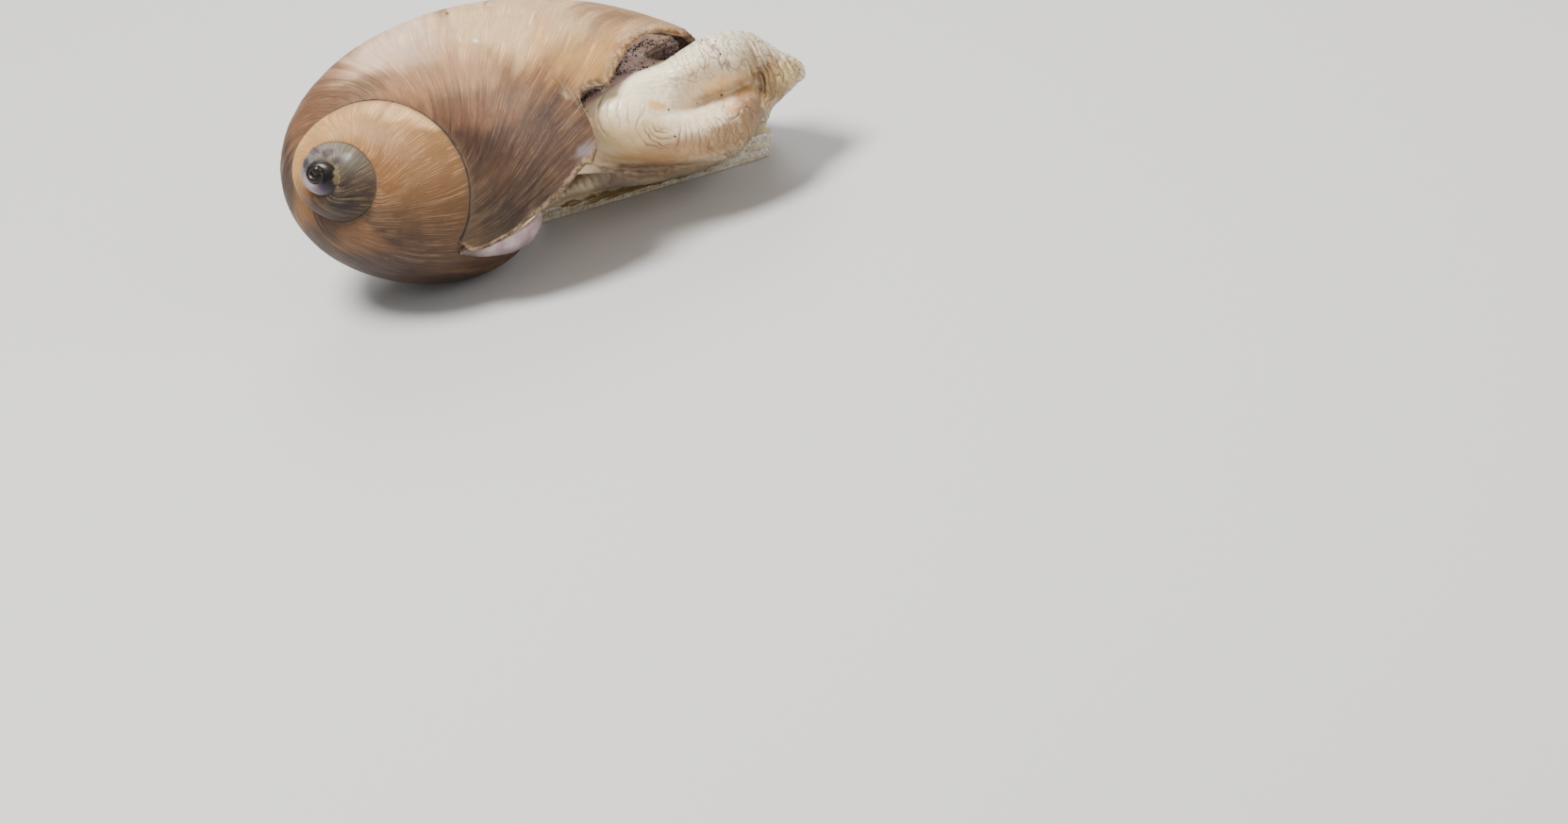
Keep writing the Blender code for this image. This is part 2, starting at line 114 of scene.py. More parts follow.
def shell_matrix():
    """Turns places around the coiling axis, apex up, into front-frame places."""
    tilt = math.radians(AXIS_TILT)
    turn = math.radians(AXIS_TURN)
    axis = Vector((math.sin(tilt) * math.cos(turn), math.sin(tilt) * math.sin(turn), math.cos(tilt)))
    side = (Vector((1, 0, 0)) - axis * axis.x).normalized()
    across = axis.cross(side)
    return Matrix.Diagonal((ELONGATION, 1, 1, 1)) @ Matrix((side, across, axis)).transposed().to_4x4()


POSE = (Matrix.Translation(STAND_SHIFT) @ Matrix.Translation((0, 0, FLOOR_BELOW_APEX))
        @ rotation(90 - FRONT_ELEVATION, "X") @ rotation(-FRONT_ROLL, "Z"))
SHELL = POSE @ shell_matrix()


def moved(matrix, points):
    """Places an array of points with a matrix."""
    array = np.array(matrix)
    return points @ array[:3, :3].T + array[:3, 3]


def to_front(points):
    """World places in millimetres of the front frame."""
    return moved(POSE.inverted(), points) / MM


def from_pixel(right, down):
    """Front-frame millimetres of a pixel of the photograph."""
    return (right - APEX_PIXEL[0]) / PIXELS_PER_MM, (APEX_PIXEL[1] - down) / PIXELS_PER_MM


def smoothstep(low, high, value):
    share = np.clip((value - low) / (high - low), 0, 1)
    return share * share * (3 - 2 * share)


def stacked(*parts):
    """Arrays, or numbers, side by side as the coordinates of places."""
    return np.stack(np.broadcast_arrays(*parts), -1)


def lattice(cells, seed):
    """Pseudo-random numbers from 0 to 1 for whole-number places."""
    total = np.full(cells.shape[:-1], seed * 7919 + 13, np.uint32)
    for axis, prime in zip(range(cells.shape[-1]), (374761393, 668265263, 2246822519)):
        cell = (cells[..., axis].astype(np.int64) & 0xFFFFFFFF).astype(np.uint32)
        total = (total ^ cell) * np.uint32(prime)
        total ^= total >> np.uint32(15)
    total *= np.uint32(2654435761)
    total ^= total >> np.uint32(13)
    return total.astype(np.float64) / 4294967295.0


def noise(places, seed=1):
    """Smooth value noise from -1 to 1 for places with one, two or three coordinates."""
    places = np.asarray(places, float)
    low = np.floor(places)
    share = places - low
    share = share * share * (3 - 2 * share)
    low = low.astype(np.int64)
    dimensions = places.shape[-1]
    result = np.zeros(places.shape[:-1])
    for corner in range(2 ** dimensions):
        offset = np.array([(corner >> axis) & 1 for axis in range(dimensions)])
        weight = np.prod(np.where(offset == 1, share, 1 - share), axis=-1)
        result += weight * lattice(low + offset, seed)
    return 2 * result - 1


def layered_noise(places, seed=1, octaves=3):
    places = np.asarray(places, float)
    return sum(noise(places * 2 ** k, seed + k) / 2 ** k for k in range(octaves)) / 1.6


def whorl_scale(turn):
    return WHORL_HALF_WIDTH * GROWTH_PER_TURN ** turn


def section_place(turn, angle, inset=0.0):
    """Distance from the axis and depth below the apex, on the whorl section at a turn and section angle."""
    scale = whorl_scale(turn)
    lean = math.radians(SECTION_LEAN)
    out = (scale - inset) * np.cos(angle)
    up = (scale * SECTION_TALLNESS - inset) * np.sin(angle)
    radius = scale * (CENTRE_OUT + CENTRE_OUT_PER_TURN * turn) + out * math.cos(lean) - up * math.sin(lean)
    depth = scale * (CENTRE_DOWN + CENTRE_DOWN_PER_TURN * turn) - out * math.sin(lean) - up * math.cos(lean)
    return np.maximum(radius, scale * UMBILICUS_RADIUS + inset), depth


def whorl_points(turn, angle, inset=0.0):
    """World places on the whorls, for arrays of turns and section angles in radians."""
    turn, angle, inset = np.broadcast_arrays(turn, angle, inset)
    radius, depth = section_place(turn, angle, inset)
    bearing = np.radians(SUTURE_BEARING + AXIS_PHASE - 360 * turn)
    return moved(SHELL, stacked(radius * np.cos(bearing), radius * np.sin(bearing), -depth))


WHORLS = (-5, -4, -3, -2, -1, 0)


def shell_places(points, whorls=WHORLS):
    """Turn, section angle and distance outside the whorl, of each point against each of the whorls."""
    local = moved(SHELL.inverted(), points)
    radius = np.hypot(local[..., 0], local[..., 1])
    bearing = np.degrees(np.arctan2(local[..., 1], local[..., 0]))
    share = ((SUTURE_BEARING + AXIS_PHASE - bearing) / 360) % 1.0
    lean = math.radians(SECTION_LEAN)
    turns, angles, distances = [], [], []
    for whorl in whorls:
        turn = share + whorl
        scale = whorl_scale(turn)
        right = radius - scale * (CENTRE_OUT + CENTRE_OUT_PER_TURN * turn)
        down = -local[..., 2] - scale * (CENTRE_DOWN + CENTRE_DOWN_PER_TURN * turn)
        out = (right * math.cos(lean) - down * math.sin(lean)) / scale
        up = (-right * math.sin(lean) - down * math.cos(lean)) / (scale * SECTION_TALLNESS)
        level = np.hypot(out, up) + 1e-9
        slope = np.hypot(out / scale, up / (scale * SECTION_TALLNESS)) + 1e-9
        turns.append(turn)
        angles.append(np.arctan2(up, out))
        distances.append(level * (level - 1) / slope)
    return np.array(turns), np.array(angles), np.array(distances)


# The lip where the photograph shows it, in its pixels, from over the mantle edge to the suture
LIP_PIXELS = [(728, 33), (710, 29.5), (694, 28), (685, 31), (675, 37), (664.5, 45), (657, 60), (650, 75),
              (647, 83), (645, 90.5), (629, 91), (618, 96), (615.5, 105), (620.5, 116), (626, 128.5),
              (633, 146), (634.5, 156), (628.5, 174), (615, 183), (608, 194), (600, 205.5), (585, 217),
              (569, 230), (555, 241), (541, 251), (518, 263)]
# The rest of the lip: section angle and lag behind the end of the suture, both in degrees
HIDDEN_LIP = [(-250, 0), (-222, 9), (-180, 49), (-150, 79), (-125, 94), (-110, 98), (-75, 102), (-50, 101.5),
              (-40, 98.5)]
LIP_AT_SUTURE = [(70, 0), (110, 0)]
# Where it is looked for: turns, section angles, and the distance in mm that counts as the same pixel
LIP_TURNS = np.linspace(-0.30, 0, 901)
LIP_ANGLES = np.arange(-40, 75, 0.25)
PIXEL_REACH = 0.15


def seen_lip():
    """Section angle and lag, in degrees, of the outside that the front shows at each pixel of the lip."""
    turn, angle = np.meshgrid(LIP_TURNS, LIP_ANGLES, indexing="ij")
    front = to_front(whorl_points(turn, np.radians(angle)))
    hidden = np.cross(*np.gradient(front, axis=(0, 1)))[..., 2] >= 0
    rows = []
    for pixel in LIP_PIXELS:
        away = np.linalg.norm(front[..., :2] - from_pixel(*pixel), axis=-1) + 9 * hidden
        near = away < max(PIXEL_REACH, away.min() + PIXEL_REACH / 3)
        place = np.where(near, front[..., 2], -99).argmax()
        rows.append((angle.flat[place], -360 * turn.flat[place]))
    return rows


LIP_PROFILE = np.array(HIDDEN_LIP + seen_lip() + LIP_AT_SUTURE, float).T


def lip_turn(angle):
    """Turn where the shell ends at a section angle, with small chips along the edge."""
    degrees = (np.degrees(angle) - LIP_COUNT_START) % 360 + LIP_COUNT_START
    lag = np.interp(degrees, *LIP_PROFILE)
    chips = layered_noise(stacked(degrees / 2.4, 0), 31)
    bites = np.clip(noise(stacked(degrees / 3.7, 0), 47) - 0.35, 0, 1)
    open_lip = smoothstep(70, 62, degrees) * smoothstep(-150, -120, degrees)
    return -(lag + (0.55 * chips + 1.6 * bites) * open_lip) / 360


# Growth lines: section angle, and how far they trail behind their start at the suture, both in degrees
GROWTH_LAG = [(-250, 0), (-222, 9), (-180, 48), (-150, 78), (-125, 94), (-110, 98), (-75, 100), (-30, 100),
              (0, 90), (22, 75), (43, 59), (50, 52), (64, 31), (75, 10), (85, 1), (110, 0)]
SPIRE_LAG_SHARE = 0.55
LAG_ANGLES = np.arange(-250, 110.5, 0.5)
LAG_TABLE = np.interp(LAG_ANGLES, *np.array(GROWTH_LAG, float).T)
for _ in range(2):
    LAG_TABLE = np.convolve(np.pad(LAG_TABLE, 10, "edge"), np.full(21, 1 / 21), "valid")


def growth_place(turn, angle):
    """Distance along the growth of the shell in mm, the same all along one growth line."""
    degrees = (np.degrees(angle) - LIP_COUNT_START) % 360 + LIP_COUNT_START
    lag = np.interp(degrees, LAG_ANGLES, LAG_TABLE)
    lag = lag * (SPIRE_LAG_SHARE + (1 - SPIRE_LAG_SHARE) * smoothstep(-1.1, -0.75, turn))
    return 300 * GROWTH_PER_TURN ** (turn + lag / 360) / math.log(GROWTH_PER_TURN)


def growth_relief(turn, angle):
    """Low waves of growth on the outside of the shell, in metres."""
    growth = growth_place(turn, angle)
    section = np.degrees(angle)
    shear = 1.5 * noise(stacked(growth * 0.05, section * 0.02), 5)
    waves = noise(stacked(growth * 0.22 + shear, section * 0.012), 3)
    ridges = noise(stacked(growth * 0.9 + shear, section * 0.02), 9)
    shape = noise(stacked(growth * 0.03, section * 0.03), 12)
    scale = np.clip(whorl_scale(turn) / WHORL_HALF_WIDTH * 1.6, 0, 1)
    return (0.07 * waves + 0.035 * ridges + 0.12 * shape) * MM * scale


# Mesh density of the fine shell
TURN_STEPS = 640
OPEN_SIDES = 380
HIDDEN_SIDES = 44
OPEN_SECTION = (-150.0, 104.0)
LIP_RINGS = 330
INNER_RINGS = 90
BODY_START = -0.5625
BEFORE_START = -1.0625
BEFORE_THAT_START = -1.625


def section_angles(open_sides, hidden_sides):
    first, last = OPEN_SECTION
    shown = np.linspace(first, last, open_sides, endpoint=False)
    hidden = np.linspace(last, first + 360, hidden_sides, endpoint=False)
    return np.radians(np.concatenate([shown, hidden]))


def linked(name, data):
    """A new object of some data in the scene."""
    item = bpy.data.objects.new(name, data)
    bpy.context.scene.collection.objects.link(item)
    return item


def new_piece(name, points, faces):
    """An object of an array of points and an array of triangles or quads."""
    mesh = bpy.data.meshes.new(name)
    faces = np.asarray(faces, np.int32)
    mesh.vertices.add(len(points))
    mesh.vertices.foreach_set("co", np.asarray(points, np.float32).ravel())
    mesh.loops.add(faces.size)
    mesh.loops.foreach_set("vertex_index", faces.ravel())
    mesh.polygons.add(len(faces))
    mesh.polygons.foreach_set("loop_start", np.arange(0, faces.size, faces.shape[1], dtype=np.int32))
    mesh.update(calc_edges=True)
    mesh.validate()
    mesh.shade_smooth()
    return linked(name, mesh)


def tube_piece(name, rings, start_hub=None, end_hub=None):
    """A closed body through rings of points, with a fan to a hub at each end."""
    count, sides = rings.shape[:2]
    points = rings.reshape(-1, 3)
    start_hub = rings[0].mean(0) if start_hub is None else start_hub
    end_hub = rings[-1].mean(0) if end_hub is None else end_hub
    row, side = np.meshgrid(np.arange(count - 1), np.arange(sides), indexing="ij")
    here = row * sides + side
    beside = row * sides + (side + 1) % sides
    walls = stacked(here, beside, beside + sides, here + sides).reshape(-1, 4)
    triangles = np.concatenate([walls[:, [0, 1, 2]], walls[:, [0, 2, 3]]])
    around = np.arange(sides)
    after = (around + 1) % sides
    first_fan = stacked(after, around, np.full(sides, len(points)))
    last = (count - 1) * sides
    last_fan = stacked(last + around, last + after, np.full(sides, len(points) + 1))
    points = np.concatenate([points, [start_hub, end_hub]])
    faces = np.concatenate([triangles, first_fan, last_fan])
    corners = points[faces]
    volume = np.einsum("ij,ij->i", corners[:, 0], np.cross(corners[:, 1], corners[:, 2])).sum()
    return new_piece(name, points, faces if volume > 0 else faces[:, ::-1])


def whorl_length(name, start, end, open_sides, hidden_sides):
    """A solid length of the whorls on the common grid of turns."""
    angles = section_angles(open_sides, hidden_sides)
    turns = np.arange(round(start * TURN_STEPS), round(end * TURN_STEPS) + 1) / TURN_STEPS
    turn, angle = np.meshgrid(turns, angles, indexing="ij")
    return tube_piece(name, whorl_points(turn, angle, -growth_relief(turn, angle)))


def body_whorl():
    """The last half turn: outside, lip and inside in one surface."""
    angles = section_angles(OPEN_SIDES, HIDDEN_SIDES)
    ends = lip_turn(angles)
    straight = np.arange(round(BODY_START * TURN_STEPS), round(BODY_START * TURN_STEPS) + 21) / TURN_STEPS
    turn = np.repeat(straight[:, None], len(angles), 1)
    share = np.linspace(0, 1, LIP_RINGS)[1:, None]
    share = share + 0.12 * np.sin(math.pi * share) * share
    turn = np.concatenate([turn, straight[-1] + (ends - straight[-1]) * share])
    angle = np.repeat(angles[None, :], len(turn), 0)
    outside = whorl_points(turn, angle, -growth_relief(turn, angle))
    edge_wall = WALL * (0.72 + 0.16 * noise(stacked(np.degrees(angles) / 9, 0), 22))
    lip = []
    for depth, ahead in ((0.10, 0.35), (0.3, 0.55), (0.6, 0.45), (0.88, 0.15), (1.0, -0.35)):
        jag = 0.25 * noise(stacked(np.degrees(angles) / 1.1, depth * 2), 25)
        ahead_turns = (ahead + jag) * MM / (math.tau * WHORL_HALF_WIDTH * 1.4)
        lip.append(whorl_points(ends + ahead_turns, angles, edge_wall * depth))
    back = np.linspace(0, 1, INNER_RINGS)[1:, None] ** 1.4
    inner_turn = ends + (HOLLOW_START - ends) * back
    deep = np.clip(back * 6, 0, 1)
    wall = edge_wall * (1 - deep) + WALL * deep
    inside = whorl_points(inner_turn, np.repeat(angles[None, :], len(inner_turn), 0), wall)
    rings = np.concatenate([outside, np.array(lip), inside])
    return tube_piece("moon_shell", rings)


def joined(item, others):
    """Applies one exact union with a collection of closed meshes, then removes them."""
    group = bpy.data.collections.new("operands")
    bpy.context.scene.collection.children.link(group)
    for other in others:
        group.objects.link(other)
    modifier = item.modifiers.new("join", "BOOLEAN")
    modifier.operation = "UNION"
    modifier.operand_type = "COLLECTION"
    modifier.collection = group
    modifier.solver = "MANIFOLD"
    bake_modifiers(item)
    for other in others:
        bpy.data.objects.remove(other, do_unlink=True)
    bpy.data.collections.remove(group)
    return item


def bake_modifiers(item):
    evaluated = item.evaluated_get(bpy.context.evaluated_depsgraph_get())
    mesh = bpy.data.meshes.new_from_object(evaluated)
    item.modifiers.clear()
    item.data = mesh
    mesh.shade_smooth()


def mesh_points(piece, kind="co"):
    """The place, or the normal, of each vertex."""
    values = np.zeros(len(piece.data.vertices) * 3)
    piece.data.vertices.foreach_get(kind, values)
    return values.reshape(-1, 3)


def move_points(piece, points):
    piece.data.vertices.foreach_set("co", points.astype(np.float32).ravel())
    piece.data.update()


def put_attributes(piece, **attributes):
    """Stores numbers or colours of the vertices for the material."""
    for name, values in attributes.items():
        values = np.asarray(values, np.float32)
        if values.ndim == 1:
            attribute = piece.data.attributes.new(name, "FLOAT", "POINT")
            attribute.data.foreach_set("value", values)
        else:
            attribute = piece.data.color_attributes.new(name, "FLOAT_COLOR", "POINT")
            full = np.concatenate([values, np.ones((len(values), 1), np.float32)], 1)
            attribute.data.foreach_set("color", full.ravel())


def columella_piece():
    """The cone of shell down the middle of the coil."""
    around = np.linspace(0, math.tau, 64, endpoint=False)
    rings = []
    for radius, depth in ((COLUMELLA_TOP_RADIUS, COLUMELLA_TOP), (COLUMELLA_BASE_RADIUS, UMBILICUS_FLOOR)):
        rings.append(stacked(radius * np.cos(around), radius * np.sin(around), -depth))
    return tube_piece("columella", moved(SHELL, np.array(rings)))


def ball_piece(name, centre, radius):
    latitude = np.linspace(-math.pi / 2, math.pi / 2, 18)[1:-1, None]
    around = np.linspace(0, math.tau, 24, endpoint=False)[None, :]
    shape = stacked(np.cos(latitude) * np.cos(around), np.cos(latitude) * np.sin(around), np.sin(latitude))
    poles = np.array([[0, 0, -1.0], [0, 0, 1.0]])
    return tube_piece(name, centre + radius * shape, *(centre + radius * poles))


def make_shell():
    """The whole shell as one closed fine mesh."""
    shell = body_whorl()
    apex = whorl_points(np.full(4, APEX_TURN), np.arange(4) * math.pi / 2).mean(0)
    overlap = 20 / TURN_STEPS
    lengths = [whorl_length(*row) for row in (
        ("before", BEFORE_START, BODY_START + overlap, OPEN_SIDES, HIDDEN_SIDES),
        ("before_that", BEFORE_THAT_START, BEFORE_START + overlap, OPEN_SIDES, HIDDEN_SIDES),
        ("spire_1", -2.35, BEFORE_THAT_START + overlap, OPEN_SIDES, HIDDEN_SIDES),
        ("spire_2", -3.15, -2.3, 150, 20), ("spire_3", -4.28, -3.1, 110, 16))]
    lengths.append(columella_piece())
    lengths.append(ball_piece("protoconch", apex, whorl_scale(APEX_TURN) * PROTOCONCH_RADIUS))
    return joined(shell, lengths)


def shell_attributes(shell):
    """Growth coordinates of each point of the shell, found from where it lies on the whorls."""
    points = mesh_points(shell)
    turns, angles, distances = shell_places(points)
    ended = turns > lip_turn(angles) + 0.004
    gaps = np.abs(distances) + np.where(ended, 1.0, 0.0)
    best = gaps.argmin(0)
    pick = (best, np.arange(len(points)))
    turn, angle, distance = turns[pick], angles[pick], distances[pick]
    gaps[pick] = 1.0
    neighbour = gaps.min(0)
    later = np.maximum(turn, turns[gaps.argmin(0), np.arange(len(points))])
    reach = np.interp(later, [-2.9, -1.95, -1.85, -1.0, -0.88], [0.12, 0.12, 0.30, 0.30, 0.80])
    seam = neighbour / MM / reach
    inner = (distance < -0.00045) & (turn > -0.6)
    put_attributes(shell, growth=growth_place(turn, angle), across=angle * whorl_scale(turn) * 1.25 / MM,
                   seam=np.where(inner, 9.0, seam), inner=inner)
    return points, turn, angle, inner


class Graph:
    """A short way to write shader nodes: numbers, colours and sockets go in, sockets come out."""

    def __init__(self, name):
        self.material = bpy.data.materials.new(name)
        self.material.use_nodes = True
        self.tree = self.material.node_tree
        self.shader = self.tree.nodes["Principled BSDF"]

    def plug(self, value, socket):
        if isinstance(value, bpy.types.NodeSocket):
            self.tree.links.new(value, socket)
        elif hasattr(value, "__len__") and len(value) == 3 and socket.type == "RGBA":
            socket.default_value = (*value, 1.0)
        else:
            socket.default_value = value

    def node(self, kind, inputs, output=0, **settings):
        made = self.tree.nodes.new(kind)
        for key, value in settings.items():
            setattr(made, key, value)
        for key, value in inputs.items():
            self.plug(value, made.inputs[key])
        return made.outputs[output]

    def attribute(self, name, colour=False):
        return self.node("ShaderNodeAttribute", {}, "Color" if colour else "Fac", attribute_name=name)

    def place(self):
        return self.node("ShaderNodeTexCoord", {}, "Object")

    def math(self, operation, first, second=0.0, clamp=False):
        return self.node("ShaderNodeMath", {0: first, 1: second}, operation=operation, use_clamp=clamp)

    def times(self, first, second):
        return self.math("MULTIPLY", first, second)

    def less(self, first, second):
        return self.math("SUBTRACT", first, second)

    def most(self, first, second):
        return self.math("MAXIMUM", first, second)

    def total(self, value, *parts):
        """A value and, on top of it, each part times its weight."""
        for part, weight in parts:
            value = self.math("ADD", value, self.times(part, weight))
        return value

    def between(self, value, low, high):
        """0 at low and below, 1 at high and above, smooth between them."""
        inputs = {"Value": value, "From Min": low, "From Max": high}
        return self.node("ShaderNodeMapRange", inputs, interpolation_type="SMOOTHSTEP")

    def contour(self, value, width):
        """Thin lines where a noise passes through its middle."""
        return self.between(self.math("ABSOLUTE", self.less(value, 0.5)), width, 0.0)

    def mix(self, share, first, second, blend_type="MIX"):
        made = self.tree.nodes.new("ShaderNodeMix")
        made.data_type = "RGBA"
        made.blend_type = blend_type
        self.plug(share, made.inputs["Factor"])
        self.plug(first, made.inputs["A"])
        self.plug(second, made.inputs["B"])
        return [output for output in made.outputs if output.type == "RGBA"][0]

    def tinted(self, colour, share, strength, tint):
        """A colour with another one over it, by a share times a strength."""
        return self.mix(self.times(share, strength), colour, tint)

    def shaded(self, colour, tone):
        return self.mix(1.0, colour, self.vector(tone, tone, tone), "MULTIPLY")

    def vector(self, x, y, z=0.0):
        return self.node("ShaderNodeCombineXYZ", {0: x, 1: y, 2: z})

    def stretched(self, first, second, scale_1, scale_2, shift=0.0):
        return self.vector(self.times(first, scale_1), self.times(second, scale_2), shift)

    def noise(self, vector, scale=1.0, detail=2.0, roughness=0.5):
        inputs = {"Vector": vector, "Scale": scale, "Detail": detail, "Roughness": roughness}
        return self.node("ShaderNodeTexNoise", inputs, "Fac")

    def cells(self, vector, scale, feature="F1"):
        inputs = {"Vector": vector, "Scale": scale}
        return self.node("ShaderNodeTexVoronoi", inputs, "Distance", feature=feature)

    def bump(self, height, distance, strength=1.0, under=None):
        inputs = {"Height": height, "Distance": distance, "Strength": strength}
        if under is not None:
            inputs["Normal"] = under
        return self.node("ShaderNodeBump", inputs)

    def finish(self, colour, roughness, normal=None, **constants):
        self.plug(colour, self.shader.inputs["Base Color"])
        self.plug(roughness, self.shader.inputs["Roughness"])
        if normal is not None:
            self.plug(normal, self.shader.inputs["Normal"])
        for key, value in constants.items():
            self.shader.inputs[key.replace("_", " ")].default_value = value
        return self.material


def rgb(red, green, blue):
    """A screen colour from 0 to 255 as linear light."""
    return tuple((value / 255 / 12.92) if value <= 10.3 else ((value / 255 + 0.055) / 1.055) ** 2.4
                 for value in (red, green, blue))


def ground_colours(points, base, patches, streaks=None):
    """Base colours with soft patches over them: centre and radii in photo pixels, colour and strength."""
    front = to_front(points)
    result = np.broadcast_to(np.asarray(base, float), points.shape).copy()
    for right, down, radius_right, radius_down, turned, colour, strength in patches:
        x, y = from_pixel(right, down)
        across = front[:, 0] - x
        up = front[:, 1] - y
        cosine, sine = math.cos(math.radians(turned)), math.sin(math.radians(turned))
        first = (across * cosine + up * sine) * PIXELS_PER_MM / radius_right
        second = (up * cosine - across * sine) * PIXELS_PER_MM / radius_down
        away = np.hypot(first, second)
        close = np.flatnonzero((away < 1.8) & (front[:, 2] > -42))
        places = front[close]
        if streaks is None:
            wobble = 0.34 * layered_noise(places * (0.12 + 7.0 / radius_right), 61, 3)
        else:
            wobble = 0.55 * layered_noise(streaks[close] * (0.5 + 8.0 / radius_right), 61, 3)
        near = strength * (1 - smoothstep(0.45, 1.25, away[close] + wobble))
        near *= smoothstep(-42, -30, places[:, 2])
        result[close] += (np.array(rgb(*colour)) - result[close]) * near[:, None]
    return result


# Rolls of the foot, with the same values as the solids: right, up, out, half height and half depth in mm
MESOPODIUM = [(48.5, 10.4, -17.0, 1.5, 3.0), (52.8, 11.0, -14.0, 4.6, 7.5), (58.0, 10.7, -14.0, 6.8, 9.6),
              (63.0, 9.9, -15.0, 7.0, 10.2), (68.5, 8.3, -16.5, 5.8, 10.0), (74.0, 8.8, -17.5, 5.5, 9.6),
              (79.0, 11.2, -18.5, 5.2, 9.0), (83.5, 13.2, -19.5, 4.4, 7.5), (86.0, 14.4, -20.5, 1.6, 3.0)]
PROPODIUM = [(54.0, 12.6, -20.0, 2.0, 4.0), (60.0, 15.0, -22.0, 5.2, 11.0), (68.0, 19.5, -24.0, 6.2, 15.0),
             (72.8, 21.4, -25.0, 7.7, 17.0), (78.0, 21.8, -26.0, 6.9, 16.0), (82.8, 21.0, -27.0, 5.4, 12.0),
             (86.5, 19.6, -28.0, 1.8, 4.0)]
METAPODIUM = [(78.0, 17.8, -29.0, 3.0, 5.0), (82.0, 18.0, -28.0, 6.2, 9.5), (85.4, 18.4, -27.0, 6.6, 9.8),
              (88.0, 19.2, -26.5, 4.9, 7.5), (90.4, 19.9, -26.0, 2.9, 4.6), (92.2, 20.2, -26.0, 0.9, 1.6)]
SOLE_FOLDS = [(42.5, -5.0, -39.0, 1.0, 3.0), (49.0, -1.6, -38.0, 3.0, 8.5), (57.0, 1.6, -37.0, 3.7, 13.0),
              (66.0, 3.4, -36.5, 4.4, 14.5), (74.5, 5.6, -35.5, 4.4, 13.5), (81.5, 8.2, -34.0, 3.9, 10.5),
              (86.0, 10.0, -33.0, 1.6, 4.0)]
FOOT_COLUMN = [(42.0, 19.0, -36.0, 4.0, 5.0), (48.0, 16.5, -33.0, 9.5, 12.0),
               (56.0, 13.5, -29.5, 11.0, 14.0), (64.0, 12.0, -27.0, 10.0, 13.0),
               (71.0, 13.0, -27.0, 7.0, 10.0), (76.0, 14.0, -27.5, 2.0, 4.0)]
OPERCULAR_LOBE = [(46.0, 4.0, -45.0, 2.0, 3.0), (53.0, 6.0, -46.5, 6.5, 9.5), (62.0, 9.0, -47.0, 8.6, 12.5),
                  (71.5, 11.0, -46.0, 8.6, 12.5), (79.5, 13.0, -43.0, 6.6, 9.5),
                  (85.0, 14.5, -41.0, 2.0, 3.0)]
GRID_STEP = 0.0004
GRID_LOW = (-0.0372, -0.0328, -0.0012)
GRID_HIGH = (0.0520, 0.0336, 0.0484)
FAR = 0.02
FLESH_CLEARANCE = 0.00012
MANTLE_RECESS = 4.0
MANTLE_START = -0.458


def smooth_spine(stations, steps):
    """Catmull-Rom interpolation of the stations of a roll."""
    result = []
    padded = [stations[0]] + list(stations) + [stations[-1]]
    for before, start, end, after in zip(padded, padded[1:], padded[2:], padded[3:]):
        for step in range(steps):
            t = step / steps
            result.append([0.5 * (2 * b + (c - a) * t + (2 * a - 5 * b + 4 * c - d) * t * t
                                  + (3 * b - a - 3 * c + d) * t ** 3)
                           for a, b, c, d in zip(before, start, end, after)])
    result.append(list(stations[-1]))
    return result


class Grid:
    """Signed distances on a regular grid of world places."""

    def __init__(self, low, high, step):
        self.low = np.array(low)
        self.step = step
        self.axes = [np.arange(a, b, step) for a, b in zip(low, high)]
        self.shape = tuple(len(axis) for axis in self.axes)

    def points(self):
        return np.stack(np.meshgrid(*self.axes, indexing="ij"), -1)

    def ellipsoid(self, field, centre, axes, radii, margin=0.0045):
        """Adds an ellipsoid to a field, working only near it; the columns of axes are its directions."""
        reach = np.abs(axes) @ radii + margin
        spans = []
        for k in range(3):
            first = max(int((centre[k] - reach[k] - self.low[k]) / self.step), 0)
            last = min(int((centre[k] + reach[k] - self.low[k]) / self.step) + 2, self.shape[k])
            if first >= last:
                return
            spans.append(slice(first, last))
        grids = [axis[span] - c for axis, span, c in zip(self.axes, spans, centre)]
        along = [grids[0][:, None, None] * axes[0, k] + grids[1][None, :, None] * axes[1, k]
                 + grids[2][None, None, :] * axes[2, k] for k in range(3)]
        level = np.sqrt(sum((along[k] / radii[k]) ** 2 for k in range(3))) + 1e-9
        slope = np.sqrt(sum((along[k] / radii[k] ** 2) ** 2 for k in range(3))) + 1e-9
        block = field[tuple(spans)]
        np.minimum(block, level * (level - 1) / slope, out=block)


def roll_field(grid, stations):
    """Distance field of one roll of the foot, as a chain of ellipsoids."""
    field = np.full(grid.shape, FAR)
    turn = np.array(POSE)[:3, :3]
    spine = smooth_spine(stations, 6)
    for i, (right, up, out, half_height, half_depth) in enumerate(spine):
        before, after = spine[max(i - 1, 0)], spine[min(i + 1, len(spine) - 1)]
        along = np.array([after[0] - before[0], after[1] - before[1], 0.0])
        along /= np.linalg.norm(along)
        axes = turn @ np.stack([along, [-along[1], along[0], 0], [0, 0, 1]], 1)
        centre = moved(POSE, np.array([right, up, out]) * MM)
        height, depth = half_height * MM, half_depth * MM
        grid.ellipsoid(field, centre, axes, np.array([min(height, depth) * 0.8, height, depth]))
    return field


def smooth_union(first, second, reach):
    near = np.maximum(reach - np.abs(first - second), 0) / reach
    return np.minimum(first, second) - near * near * reach / 4


def smooth_both(first, second, reach):
    return -smooth_union(-first, -second, reach)


def shell_field(places):
    """Below zero inside the shell; also the turn, section angle, distance and end of the last whorl."""
    turns, angles, distances = shell_places(places, (-2, -1))
    turn, angle, outside = turns[1], angles[1], distances[1]
    end = lip_turn(angle)
    hollow = np.maximum(outside + WALL, (HOLLOW_START - turn) * SPAN)
    wall = np.maximum(np.maximum(outside, -hollow), (turn - end) * SPAN)
    return np.minimum(distances[0], wall), turn, angle, outside, end


